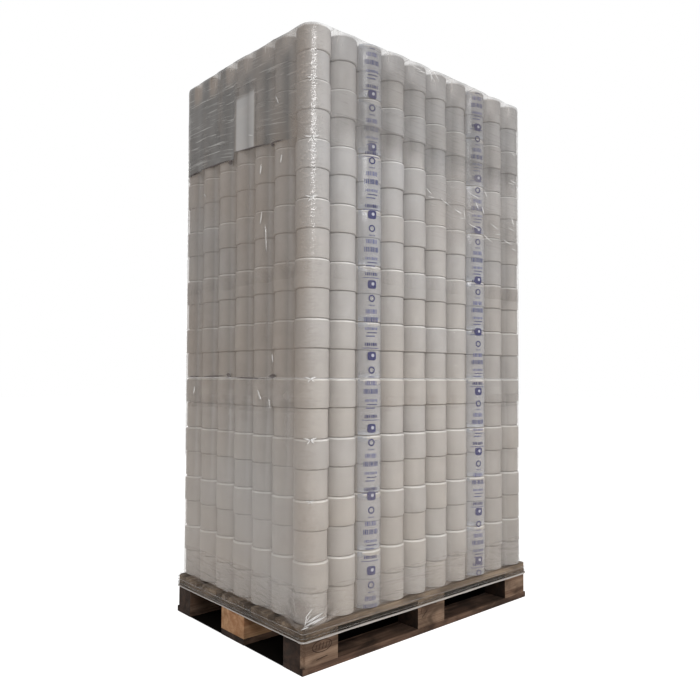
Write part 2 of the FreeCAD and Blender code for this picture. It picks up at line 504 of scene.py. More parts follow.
@dataclass(frozen=True)
class FilmFinish:
    """Clear film: how milky it is comes from the mesh, and creases make it glint; its dark share is partly
    painted shade and its pale streaks partly painted highlight.
    """

    name: str
    warm: Colour
    cool: Colour
    folded: Colour
    deep: Colour
    streak_haze: float
    crease_height: float
    gloss_ior: float = 2.0
    gloss_roughness: float = 0.15

    @classmethod
    def plain(cls, name: str, colour: Colour, streak_haze: float, crease_height: float,
              gloss_ior: float = 2.0) -> FilmFinish:
        """A film of one colour wherever it lies."""
        return cls(name, colour, colour, colour, colour, streak_haze, crease_height, gloss_ior)

    def build(self, effects: Effects) -> bpy.types.Material:
        """Makes the material.

        Args:
            effects: The shared shader groups.

        Returns:
            The material.
        """
        material, nodes, surface = new_material(self.name)
        creases = nodes.add("Group", node_tree=effects.creases)
        nodes.feed(creases, Vector=nodes.add("TexCoord").outputs["UV"], Corner=nodes.attribute("corner"),
                   Slack=nodes.attribute("slack"), Drawn=nodes.attribute("drawn"))
        streaked = nodes.times(creases.outputs["Streaks"], self.streak_haze)
        blotches = creases.outputs["Blotches"]
        mottled = nodes.times(nodes.attribute("haze"), nodes.ramp(blotches, 0.0, 1.0, 0.84, 1.12))
        colour = nodes.mix(nodes.attribute("tint"), self.warm, self.cool)
        colour = nodes.mix(nodes.ramp(blotches, 0.0, 1.0, 0.0, 0.35), colour, self.folded)
        # darker film where the mesh asks for it, in part painted shade over the grooves between rolls
        colour = nodes.mix(nodes.attribute("deep"), colour, self.deep)
        # pale streaks of milky film, with painted highlight dashes on the near corner
        colour = nodes.mix(streaked, colour, srgb(206, 205, 202))
        creased = nodes.bump(creases.outputs["Height"], self.crease_height)
        nodes.feed(surface, Base_Color=colour, Alpha=nodes.plus(mottled, streaked), Roughness=0.36,
                   IOR=1.5, Coat_Weight=1.0, Coat_IOR=self.gloss_ior, Coat_Roughness=self.gloss_roughness,
                   Normal=creased, Coat_Normal=creased)
        material.surface_render_method = "BLENDED"
        return material


@dataclass(frozen=True)
class InkFinish:
    """A flat print colour on film."""

    name: str
    ink: Colour
    cover: float

    def build(self) -> bpy.types.Material:
        """Makes the material."""
        material, nodes, surface = new_material(self.name)
        place = nodes.add("TexCoord").outputs["Object"]
        worn = nodes.ramp(nodes.noise(place, 240.0, 3.0), 0.3, 0.7, self.cover - 0.12, self.cover)
        nodes.feed(surface, Base_Color=self.ink, Roughness=0.35, Alpha=worn)
        return material


def add_object(name: str, data: bpy.types.ID) -> bpy.types.Object:
    """Puts a mesh, lamp or camera into the scene.

    Args:
        name: The object's name.
        data: Its data.

    Returns:
        The object.
    """
    made = bpy.data.objects.new(name, data)
    bpy.context.scene.collection.objects.link(made)
    return made


class Piece:
    """A mesh that is being shaped and then handed to the object."""

    def __init__(self, name: str) -> None:
        """Starts an empty mesh."""
        self.name = name
        self.mesh = bmesh.new()

    def film_layers(self) -> tuple[dict[str, bmesh.types.BMLayerItem], bmesh.types.BMLayerItem]:
        """Adds the attributes that a film finish reads, and the map for its creases."""
        layers = {name: self.mesh.verts.layers.float.new(name) for name in FILM_VALUES}
        return layers, self.mesh.loops.layers.uv.new("UVMap")

    def close(self) -> None:
        """Joins the ends of film that has gone round the load."""
        bmesh.ops.remove_doubles(self.mesh, verts=self.mesh.verts, dist=JOIN_GAP)
        bmesh.ops.recalc_face_normals(self.mesh, faces=self.mesh.faces)

    def finish(self, materials: Iterable[bpy.types.Material], slot: str, stands_for: Iterable[str] = (),
               smooth: bool = True) -> bpy.types.Object:
        """Makes the object and sets it on the pallet load's one body.

        Args:
            materials: Its materials, in the order of the faces' indices.
            slot: The record's material slot; not used.
            stands_for: The CAD nodes that it replaces.
            smooth: Whether its faces are shaded smooth.

        Returns:
            The object.
        """
        data = bpy.data.meshes.new(self.name)
        if smooth:
            for face in self.mesh.faces:
                face.smooth = True
        self.mesh.to_mesh(data)
        self.mesh.free()
        piece = add_object(self.name, data)
        for material in materials:
            data.materials.append(material)
        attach(piece, ROOT)
        nodes = list(stands_for)
        if nodes:
            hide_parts(*nodes)
        LOG.info("%s: %d faces", self.name, len(data.polygons))
        return piece


@dataclass
class Pallet:
    """The wooden pallet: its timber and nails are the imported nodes, dressed."""

    effects: Effects
    wear: float = 1.4 * MM
    strokes: tuple[tuple[float, float, float, float], ...] = (
        (-0.548, 0.070, -0.543, 0.084), (-0.535, 0.067, -0.529, 0.087), (-0.521, 0.067, -0.515, 0.087),
        (-0.507, 0.067, -0.501, 0.086), (-0.494, 0.071, -0.490, 0.083),
        (-0.545, 0.037, -0.499, 0.042), (-0.052, 0.058, -0.022, 0.080),
        (0.010, 0.100, 0.026, 0.092), (-0.058, 0.072, -0.050, 0.098),
    )
    finishes: dict[str, TimberFinish] = field(default_factory=lambda: {
        "deck": TimberFinish("deck_timber", srgb(150, 132, 112), srgb(96, 80, 66), srgb(58, 49, 42), 0.75),
        "stringer": TimberFinish("stringer_timber", srgb(140, 120, 100), srgb(88, 72, 58), srgb(48, 40, 34),
                                 0.85, Grain.ALONG_WIDTH),
        "block": TimberFinish("block_timber", srgb(138, 116, 98), srgb(92, 70, 56), srgb(52, 40, 33), 0.75),
        "fresh": TimberFinish("new_timber", srgb(196, 158, 122), srgb(160, 116, 84), srgb(120, 84, 58), 0.45),
        "base": TimberFinish("base_timber", srgb(116, 92, 76), srgb(72, 54, 44), srgb(38, 29, 24), 0.8),
    })

    def dress(self, frame: dict) -> None:
        """Gives each timber its finish and worn edges, and the nails their steel.

        Args:
            frame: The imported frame.
        """
        built = {name: finish.build(self.effects) for name, finish in self.finishes.items()}
        # painted shade: the timber ends are darkened partly as end grain and partly as shade on the left ends
        end_grain_and_shade = TimberFinish("end_grain_and_shade", srgb(57, 40, 30), srgb(36, 25, 18), srgb(23, 16, 12), 0.8)
        built["end"] = end_grain_and_shade.build(self.effects)
        steel = SteelFinish("nail_steel", srgb(120, 112, 104), srgb(96, 62, 44)).build()
        for name, node in frame["nodes"].items():
            if name.endswith("_nails"):
                self.cover(node, steel)
            elif name == "block_middle_left":
                self.cover(node, built["fresh"])
                self.wear_edges(node)
            elif name.split("_")[0] in built:
                self.cover(node, built[name.split("_")[0]])
                if name.startswith(("block", "base")):
                    self.darken_ends(node, built["end"])
                self.wear_edges(node)

        scorched = TimberFinish("scorched_timber", srgb(52, 38, 31), srgb(40, 28, 23), srgb(30, 22, 18), 0.5)
        self.burn_marks(scorched.build(self.effects))

    def burn_marks(self, material: bpy.types.Material) -> None:
        """Lays plain burnt marks on two blocks of the front: an oval with strokes, and lines.

        Args:
            material: Scorched timber.
        """
        piece = Piece("burnt_marks")
        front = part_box("block_front_left")[0].y - 0.25 * MM
        stroke = 2.6 * MM
        rim = bmesh.ops.create_circle(piece.mesh, segments=28, radius=1.0, cap_ends=True)["verts"]
        disc = list({face for vert in rim for face in vert.link_faces})
        bmesh.ops.transform(piece.mesh, matrix=Matrix.Diagonal((41.0 * MM, 20.0 * MM, 1, 1)), verts=rim)
        ring = bmesh.ops.inset_region(piece.mesh, faces=disc, thickness=stroke, use_boundary=True,
                                        use_even_offset=True)["faces"]
        bmesh.ops.delete(piece.mesh, geom=disc, context="FACES_ONLY")
        for vert in {vert for face in ring for vert in face.verts}:
            vert.co = Vector((-0.5215 + vert.co.x, front, 0.077 + vert.co.y))
        for x, z, end_x, end_z in self.strokes:
            start, end = Vector((x, z)), Vector((end_x, end_z))
            aside = Vector((start.y - end.y, end.x - start.x)).normalized() * stroke / 2
            corners = [start - aside, end - aside, end + aside, start + aside]
            piece.mesh.faces.new([piece.mesh.verts.new((corner.x, front, corner.y)) for corner in corners])
        bmesh.ops.recalc_face_normals(piece.mesh, faces=piece.mesh.faces)
        piece.finish([material], "block_timber", smooth=False)

    def cover(self, node: bpy.types.Object, material: bpy.types.Material) -> None:
        """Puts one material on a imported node."""
        node.data.materials.clear()
        node.data.materials.append(material)

    def darken_ends(self, node: bpy.types.Object, material: bpy.types.Material) -> None:
        """Gives the two ends of a timber, across its fibres, a darker finish: partly end grain and partly
        painted shade of the shaded left ends.
        """
        node.data.materials.append(material)
        for face in node.data.polygons:
            if abs(face.normal.x) > 0.9:
                face.material_index = 1

    def wear_edges(self, node: bpy.types.Object) -> None:
        """Rounds a timber's sawn edges."""
        weld = node.modifiers.new("joined", "WELD")
        weld.merge_threshold = 0.02 * MM
        bevel = node.modifiers.new("worn_edges", "BEVEL")
        bevel.width = self.wear
        bevel.segments = 2
        bevel.limit_method = "ANGLE"
        bevel.angle_limit = math.radians(40)
        bevel.use_clamp_overlap = True


@dataclass
class Load:
    """The packs of rolls: ten layers of two stacks, seven packs deep."""

    layers: int = 10
    stacks: int = 2
    packs_deep: int = 7
    rolls_wide: int = 5
    tiers: int = 2
    sides: int = 28
    edge_round: float = 4.0 * MM
    rim_round: float = 6.0 * MM
    tier_gap: float = 1.6 * MM
    lower_tier_inset: float = 3.2 * MM
    crushed: float = 12.0 * MM
    crushed_reach: float = 0.45
    core_radius: float = 21.0 * MM
    core_wall: float = 1.4 * MM
    core_depth: float = 55.0 * MM
    seed: int = 11

    def __post_init__(self) -> None:
        """Reads the load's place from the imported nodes."""
        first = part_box(self.node(0, 0))
        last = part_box(self.node(self.layers - 1, self.stacks - 1))
        self.low = first[0].copy()
        self.high = last[1].copy()
        self.pitch = (first[1].x - first[0].x) / self.rolls_wide
        self.radius = self.pitch / 2
        self.pack_height = first[1].z - first[0].z
        self.depth_pitch = (first[1].y - first[0].y - self.pitch) / (self.packs_deep - 1)
        self.random = random.Random(self.seed)

    def node(self, layer: int, stack: int) -> str:
        """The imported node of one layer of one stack."""
        return f"packs_layer_{layer + 1:02d}_stack_{stack + 1}"

    def roll(self, top_tier: bool, open_end: bool) -> bpy.types.Mesh:
        """Shapes one roll on end, standing on the origin.

        Args:
            top_tier: Whether its upper rim has the pack's folded film, in a bright material that paints a
                highlight on it.
            open_end: Whether its core shows at the top.

        Returns:
            The roll's mesh, to be copied.
        """
        mesh = bmesh.new()
        height = self.pack_height / self.tiers - self.tier_gap
        bmesh.ops.create_cone(mesh, cap_ends=True, segments=self.sides, radius1=self.radius,
                              radius2=self.radius, depth=height)
        bmesh.ops.translate(mesh, vec=(0, 0, height / 2 + self.tier_gap / 2), verts=mesh.verts)
        for way, width in ((-1, self.edge_round), (1, self.rim_round if top_tier else self.edge_round)):
            cap = next(face for face in mesh.faces if face.normal.z * way > 0.9)
            bmesh.ops.bevel(mesh, geom=list(cap.edges), offset=width, segments=2, profile=0.5,
                            affect="EDGES", material=-1)
        for face in mesh.faces:
            middle = face.calc_center_median()
            face.smooth = True
            # painted highlight: the rounded upper rim of a pack takes the bright film rim material
            if top_tier and 0.1 < face.normal.z < 0.97 and middle.z > height / 2:
                face.material_index = 1
        if open_end:
            self.open_core(mesh)
        from_axis = mesh.verts.layers.float.new("from_axis")
        for vert in mesh.verts:
            vert[from_axis] = vert.co.xy.length
        shaped = bpy.data.meshes.new("roll")
        mesh.to_mesh(shaped)
        mesh.free()
        return shaped

    def open_core(self, mesh: bmesh.types.BMesh) -> None:
        """Sinks a core into a roll's top face.

        Args:
            mesh: The roll.
        """
        top = max(mesh.faces, key=lambda face: face.normal.z * 10 + face.calc_center_median().z)
        ring = self.radius - self.rim_round - self.core_radius - self.core_wall
        bmesh.ops.inset_region(mesh, faces=[top], thickness=ring, use_even_offset=True)
        tube = bmesh.ops.inset_region(mesh, faces=[top], thickness=self.core_wall, use_even_offset=True)
        for face in tube["faces"]:
            face.material_index = 2
        sunk = bmesh.ops.extrude_discrete_faces(mesh, faces=[top])["faces"][0]
        bmesh.ops.translate(mesh, vec=(0, 0, -self.core_depth), verts=sunk.verts)
        for face in {face for edge in sunk.edges for face in edge.link_faces}:
            face.material_index = 2

    def build(self, materials: list[bpy.types.Material]) -> None:
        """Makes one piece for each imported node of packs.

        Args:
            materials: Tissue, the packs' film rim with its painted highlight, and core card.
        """
        shapes = {
            (0, False): self.roll(top_tier=False, open_end=False),
            (1, False): self.roll(top_tier=True, open_end=False),
            (1, True): self.roll(top_tier=True, open_end=True),
        }
        for layer in range(self.layers):
            for stack in range(self.stacks):
                low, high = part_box(self.node(layer, stack))
                piece = Piece(f"rolls_layer_{layer + 1:02d}_stack_{stack + 1}")
                tone = piece.mesh.verts.layers.float.new("tone")
                piece.mesh.verts.layers.float.new("from_axis")
                for place in range(self.packs_deep):
                    for tier in range(self.tiers):
                        for number in range(self.rolls_wide):
                            foot = Vector((low.x + (number + 0.5) * self.pitch,
                                           low.y + self.radius + place * self.depth_pitch,
                                           low.z + tier * self.pack_height / self.tiers))
                            top_layer = layer == self.layers - 1 and tier == 1
                            self.stand(piece.mesh, shapes[(tier, top_layer)], foot, tier, tone)
                piece.finish(materials, "wrapped_rolls", [self.node(layer, stack)], smooth=False)

    def stand(self, mesh: bmesh.types.BMesh, shape: bpy.types.Mesh, foot: Vector, tier: int,
              tone: bmesh.types.BMLayerItem) -> None:
        """Stands one roll in its place, a little off true and inside its own space.

        Args:
            mesh: The layer's mesh.
            shape: The roll's mesh.
            foot: Where the roll's axis meets its bed.
            tier: 0 for the lower roll of a pack and 1 for the upper.
            tone: The layer that holds each roll's own tint.
        """
        mesh.verts.ensure_lookup_table()
        start = len(mesh.verts)
        mesh.from_mesh(shape)
        mesh.verts.ensure_lookup_table()
        added = mesh.verts[start:]
        room = self.random.uniform(0.2, 1.3) * MM + (self.lower_tier_inset if tier == 0 else 0.0)
        slim = 1 - room / self.radius
        way = self.random.uniform(0, 2 * math.pi)
        shift = room * self.random.uniform(0.0, 0.7)
        turn = Matrix.Rotation(self.random.uniform(0, 2 * math.pi), 4, "Z")
        top = self.high.z - foot.z < self.pack_height * 0.6
        lower = (self.drop(foot.x, foot.y) if top else 0.0) / (self.pack_height / self.tiers)
        slimmed = Matrix.Diagonal((slim, slim, 1 - lower, 1))
        moved = Matrix.Translation(foot + Vector((math.cos(way) * shift, math.sin(way) * shift, 0)))
        bmesh.ops.transform(mesh, matrix=moved @ slimmed @ turn, verts=added)
        low_share = 1 - (foot.z - self.low.z) / (self.high.z - self.low.z)
        own_tint = 0.30 * self.random.random() + 0.62 * low_share
        for vert in added:
            vert[tone] = own_tint

    def drop(self, x: float, y: float) -> float:
        """How far the tight film has pulled the load's top down, most at the front left corner.

        Args:
            x: A place seen from above.
            y: The same.

        Returns:
            The drop in metres.
        """
        away = math.hypot(x - self.low.x, y - self.low.y)
        return self.crushed * (1 - ease(away, 0.08, self.crushed_reach))


@dataclass(frozen=True)
class Station:
    """One upright line of the film: where it stands on the load and on the deck's edge."""

    load: Vector
    deck: Vector
    pallet: Vector
    out: Vector
    along: float
    face: Face
    groove: int
    near_groove: float
    corner: float


@dataclass
class WrapPath:
    """The way round the load, from the front left corner to the right and back again."""

    load: Load
    steps: int = 10
    corner_steps: int = 8
    deck_corner: float = 13.0 * MM
    overhang_corner: float = 36.0 * MM
    clearance: float = 1.0 * MM

    def __post_init__(self) -> None:
        """Reads the pallet's outline from its boards."""
        front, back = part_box("deck_board_1"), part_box("deck_board_5")
        self.pallet_low = Vector((front[0].x, front[0].y))
        self.pallet_high = Vector((back[1].x, back[1].y))
        self.deck_top = front[1].z
        self.board = front[1].z - front[0].z

    def corner_point(self, face: Face, degrees: float, area: str, bend: float) -> Vector:
        """A point of the rounded corner that starts a side.

        Args:
            face: The side.
            degrees: From 0, where the side before ends, to 90, where this one starts.
            area: Which outline: load, deck or pallet.
            bend: The corner's radius.

        Returns:
            The point, seen from above.
        """
        low, high = self.area(area)
        sign = {Face.FRONT: (-1, -1), Face.RIGHT: (1, -1), Face.BACK: (1, 1), Face.LEFT: (-1, 1)}[face]
        centre = Vector((low.x + bend if sign[0] < 0 else high.x - bend,
                         low.y + bend if sign[1] < 0 else high.y - bend))
        angle = math.radians(180 + 90 * face.value + degrees)
        return centre + bend * Vector((math.cos(angle), math.sin(angle)))

    def bend(self, face: Face, area: str) -> float:
        """The radius of the corner that starts a side: larger where the load stands past the deck."""
        if area == "load":
            return self.load.radius
        overhangs = area == "deck" and face in (Face.BACK, Face.LEFT)
        return self.overhang_corner if overhangs else self.deck_corner

    def area(self, name: str) -> tuple[Vector, Vector]:
        """The low and high corner of an outline: the load, the pallet, or the deck with both on it."""
        load = (self.load.low.xy, self.load.high.xy)
        if name == "load":
            return load
        if name == "pallet":
            return self.pallet_low, self.pallet_high
        return (Vector(map(min, load[0], self.pallet_low)), Vector(map(max, load[1], self.pallet_high)))

    def stations(self) -> list[Station]:
        """Every upright line of the film, in order."""
        found: list[Station] = []
        travelled = 0.0
        radius = self.load.radius
        areas = ("load", "deck", "pallet")
        for face in Face:
            rolls = self.load.stacks * self.load.rolls_wide
            pitches = (rolls if face in (Face.FRONT, Face.BACK) else self.load.packs_deep) - 1
            for step in range(self.corner_steps):
                degrees = 90 * step / self.corner_steps
                angle = math.radians(180 + 90 * face.value + degrees)
                points = [self.corner_point(face, degrees, area, self.bend(face, area)) for area in areas]
                found.append(Station(points[0], points[1], points[2],
                                     Vector((math.cos(angle), math.sin(angle))), travelled, face, -1, 0.0,
                                     math.sin(math.radians(2 * degrees))))
                travelled += radius * math.radians(90 / self.corner_steps)
            following = Face((face.value + 1) % 4)
            ends = [(self.corner_point(face, 90, area, self.bend(face, area)),
                     self.corner_point(following, 0, area, self.bend(following, area))) for area in areas]
            angle = math.radians(270 + 90 * face.value)
            out = Vector((math.cos(angle), math.sin(angle)))
            length = (ends[0][1] - ends[0][0]).length
            for step in range(pitches * self.steps):
                share = step / (pitches * self.steps)
                groove, within = divmod(step, self.steps)
                near = 1 - abs(within / self.steps - 0.5) * 2
                points = [start.lerp(end, share) for start, end in ends]
                found.append(Station(points[0], points[1], points[2], out, travelled + share * length,
                                     face, groove, near, 0.0))
            travelled += length
        return found


@dataclass
class FilmTurn:
    """One broad turn of stretch film round the load, from a flat sheet wrapped and drawn tight."""

    name: str
    path: WrapPath
    foot: float
    head: float
    rows: int
    proud: float = 0.0
    lip: float = 0.0
    fade: float = 50.0 * MM
    open_foot: bool = True
    taut_grooves: dict[Face, set[int]] = field(default_factory=dict)
    seed: float = 0.0
    haze_left: float = 0.40
    haze_front: float = 0.08
    haze_elsewhere: float = 0.22
    most_haze: float = 0.96

    def sag(self, station: Station, height: float) -> float:
        """How far the film sinks into a groove between two rolls.

        Args:
            station: The upright line.
            height: The level.

        Returns:
            The depth in metres.
        """
        if station.groove < 0:
            return 0.0
        key = station.groove * 3.7 + station.face.value * 17.3
        slack = 7.5 + 5.5 * ripple(key, height * 3.1, 1.0)
        if station.face is Face.LEFT:
            slack *= (1 - 0.75 * ease(height, 1.70, 1.78)) * (0.10 + 0.90 * ease(height, 0.35, 1.0))
        if station.groove in self.taut_grooves.get(station.face, set()):
            slack *= 1 - 0.9 * ease(height, 1.9, 2.05)
        return max(0.6, slack) * MM * station.near_groove ** 2

    def edge(self, station: Station) -> float:
        """How far the foot of this turn wanders up or down at a line."""
        return 7.0 * MM * ripple(station.along * 7.0, self.seed, 9.0)

    def wrinkle(self, station: Station, height: float) -> float:
        """Small waves that stand out of the film.

        Args:
            station: The upright line.
            height: The level.

        Returns:
            The height of the wave in metres.
        """
        along = station.along
        broad = ripple(along * 4.0, height * 9.0, 3.1 + self.seed)
        slanted = ripple((along + 1.8 * height) * 9.0, (height - 0.4 * along) * 30.0, 7.7)
        pleats = ripple(along * 46.0, height * 6.0, 1.7)
        top = self.path.load.high.z
        pull = ease(height, top - 0.10, top)
        return (0.55 * broad + 0.5 * slanted + (0.3 + 1.8 * pull) * max(0.0, pleats)) * MM

    def place(self, station: Station, travel: float) -> tuple[Vector, float]:
        """Where a point of the sheet ends up.

        Args:
            station: Its upright line.
            travel: How far up the sheet it is, from the foot.

        Returns:
            The point and its level on the side.
        """
        top = self.path.load.high.z - self.path.load.drop(station.load.x, station.load.y)
        loose = 1 - travel / (self.head - self.foot)
        height = self.foot + travel + self.edge(station) * max(0.0, loose)
        out = Vector((*station.out, 0.0))
        over = height - top
        side = min(height, top)
        stand = self.path.clearance + self.proud - self.sag(station, side) + self.wrinkle(station, side)
        base = Vector((*station.load, 0.0)) + out * stand
        base.z = side
        if over <= 0:
            return base, side
        ruffle = ripple(station.along * 30.0, over * 22.0, 4.4) * ease(over, 0.01, 0.07)
        base -= out * (over * (1 - 0.12 * ruffle))
        base.z = top + (1.6 + 3.4 * ease(over, 0.0, 0.03) * max(0.0, ripple(station.along * 40.0, 2.2))
                        + 5.0 * max(0.0, ruffle)) * MM
        return base, top

    def build(self, material: bpy.types.Material) -> bpy.types.Object:
        """Wraps the sheet."""
        return wrap_sheet(Piece(self.name), self.path.stations(), self.rows,
                          self.head - self.foot + self.lip, self.place, self.look, material)

    def look(self, station: Station, height: float, travel: float) -> dict[str, float]:
        """How milky, dark and creased the film is at a place.

        Args:
            station: The upright line.
            height: The level on the side.
            travel: How far up the sheet the place is.

        Returns:
            The values of the mesh attributes.
        """
        left, front = max(0.0, -station.out.x) ** 2, max(0.0, -station.out.y) ** 2
        x, y = station.load
        low = 1 - ease(height, 0.20, 0.85)
        patches = ease(ripple(station.along * 3.2, height * 4.0, 2.0), -0.25, 0.45)
        haze = ((self.haze_left + 0.03 * low) * left + (self.haze_front + 0.14 * low) * front
                + self.haze_elsewhere * (1 - left - front)) * (0.88 + 0.22 * patches)
        if self.open_foot:
            haze *= ease(travel, 0.0, self.fade)
        if not self.lip:
            haze *= 1 - ease(self.head - self.foot - travel, self.fade, 0.0)

        # painted shade: the film is darker and milkier over the grooves between rolls
        groove = station.near_groove ** 1.6
        groove *= left * ease(height, 0.35, 0.85) + 0.75 * front * ease(height, 0.15, 1.4)
        shade, glow = self.shade(station, height, travel), self.glow(station, height)
        rim = ease(height, 1.985, 2.06) * ease(station.near_groove, 0.3, 0.75)
        misty = front * ease(x, -0.10, 0.06) * ease(height, 1.42, 1.50) * (1 - ease(height, 1.66, 1.78))
        dull = front * ease(x, -0.48, -0.42) * ease(height, 1.70, 1.80)
        far = front * ease(x, 0.28, 0.45) * (1 - ease(height, 1.5, 1.7))
        near_foot = left * ease(-y, 0.05, 0.2) * (1 - ease(height, 0.22, 0.40))
        cooler = (0.6 * ripple(station.along * 2.3, height * 2.7, 12.0) + glow
                  + 0.4 * near_foot + 0.55 * front * ease(height, 0.5, 1.5))
        milkier_with_painted_shade = 0.52 * shade + 0.22 * groove + 0.14 * misty + 0.18 * dull + 0.13 * far
        darker = 1.15 * shade + 0.55 * groove + 0.5 * dull + (0.12 * left + 0.3 * front) * low + 0.4 * far
        looser = 0.06 + 0.16 * left * patches * ease(height, 0.3, 0.9)
        return {
            "haze": min(self.most_haze, haze + milkier_with_painted_shade * (1 - rim) + 0.12 * rim + 0.55 * glow),
            "deep": min(1.0, darker) * (1 - rim),
            "tint": min(1.0, max(0.0, 0.15 + cooler)),
            "corner": station.corner * (0.35 + 0.95 * ease(height, 1.1, 1.6)),
            "slack": looser * (1 - 0.5 * shade) + 0.9 * rim + 0.35 * misty,
            "drawn": 0.9 * shade * (1 - rim) + 0.08 * front * patches + 0.35 * misty + 0.25 * dull,
        }

    def shade(self, station: Station, height: float, travel: float) -> float:
        """How dark the film is at a place: only the head of the left side is."""
        return 0.0

    def glow(self, station: Station, height: float) -> float:
        """How pale the film is at a place: only one band of the head is."""
        return 0.0


@dataclass
class HeadTurn(FilmTurn):
    """The topmost turn: darker on the left side, where its foot shows as a crisp edge with a step."""

    step_at: float = 0.033
    step_rise: float = 26.0 * MM
    slope: float = 0.11

    def edge(self, station: Station) -> float:
        """How far the foot of this turn wanders up or down at a line."""
        y = station.load.y
        if station.face is not Face.LEFT:
            return -25.0 * MM
        nearer = self.slope * (y - self.step_at) + self.step_rise
        farther = 13.0 * MM * math.sin(max(0.0, y - self.step_at) * 9.0)
        return nearer if y < self.step_at else farther

    def shade(self, station: Station, height: float, travel: float) -> float:
        """How dark the film is at a place.

        Args:
            station: The upright line.
            height: The level on the side.
            travel: How far up the sheet the place is; not used.

        Returns:
            The darkness, from 0 to 1.
        """
        y = station.load.y
        left = max(0.0, -station.out.x) ** 2
        far = 0.55 + 0.45 * ease(y, 0.02, 0.04)
        band = self.glow(station, height)
        near = ease(y, -0.36, -0.27)
        blotch = 0.85 + 0.3 * ripple(y * 11.0, height * 9.0, 6.0)
        return left * far * (1 - band) * (0.45 + 0.55 * near) * blotch

    def glow(self, station: Station, height: float) -> float:
        """How pale the film is at a place: an upright band of the left side, above the middle.

        Args:
            station: The upright line.
            height: The level on the side.

        Returns:
            The share, from 0 to 1.
        """
        y = station.load.y
        left = max(0.0, -station.out.x) ** 2
        return left * ease(y, -0.105, -0.095) * (1 - ease(y, 0.014, 0.026)) * (1 - ease(height, 1.93, 1.955))


def wrap_sheet(piece: Piece, stations: list[Station], rows: int, length: float,
               place: Callable[[Station, float], tuple[Vector, float]],
               look: Callable[[Station, float, float], dict[str, float]],
               material: bpy.types.Material, stands_for: Iterable[str] = ()) -> bpy.types.Object:
    """Bends a flat sheet round the load and joins its ends.

    Args:
        piece: The piece that is made.
        stations: The upright lines round the load.
        rows: Rows of faces from foot to head.
        length: The sheet's length from foot to head.
        place: Gives a point and its level from a line and the travel up the sheet.
        look: Gives the mesh attributes from a line, a level and the travel.
        material: The film.
        stands_for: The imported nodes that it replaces.

    Returns:
        The piece's object.
    """
    mesh = piece.mesh
    columns = len(stations)
    layers, uv = piece.film_layers()
    bmesh.ops.create_grid(mesh, x_segments=columns, y_segments=rows, size=0.5)
    reach: dict[bmesh.types.BMVert, tuple[int, float]] = {}
    for vert in mesh.verts:
        row = round((vert.co.y + 0.5) * rows)
        travel = {1: HEM_ROW, rows - 1: length - HEM_ROW}.get(row, row * length / rows)
        reach[vert] = (round((vert.co.x + 0.5) * columns), travel)
    lap = stations[-1].along + (stations[1].along - stations[0].along)
    for face in mesh.faces:
        for loop in face.loops:
            column, travel = reach[loop.vert]
            along = lap if column == columns else stations[column].along
            loop[uv].uv = (along, travel)
    for vert, (column, travel) in reach.items():
        station = stations[column % columns]
        vert.co, level = place(station, travel)
        for name, value in look(station, level, travel).items():
            vert[layers[name]] = value
    piece.close()
    return piece.finish([material], "stretch_film", stands_for)


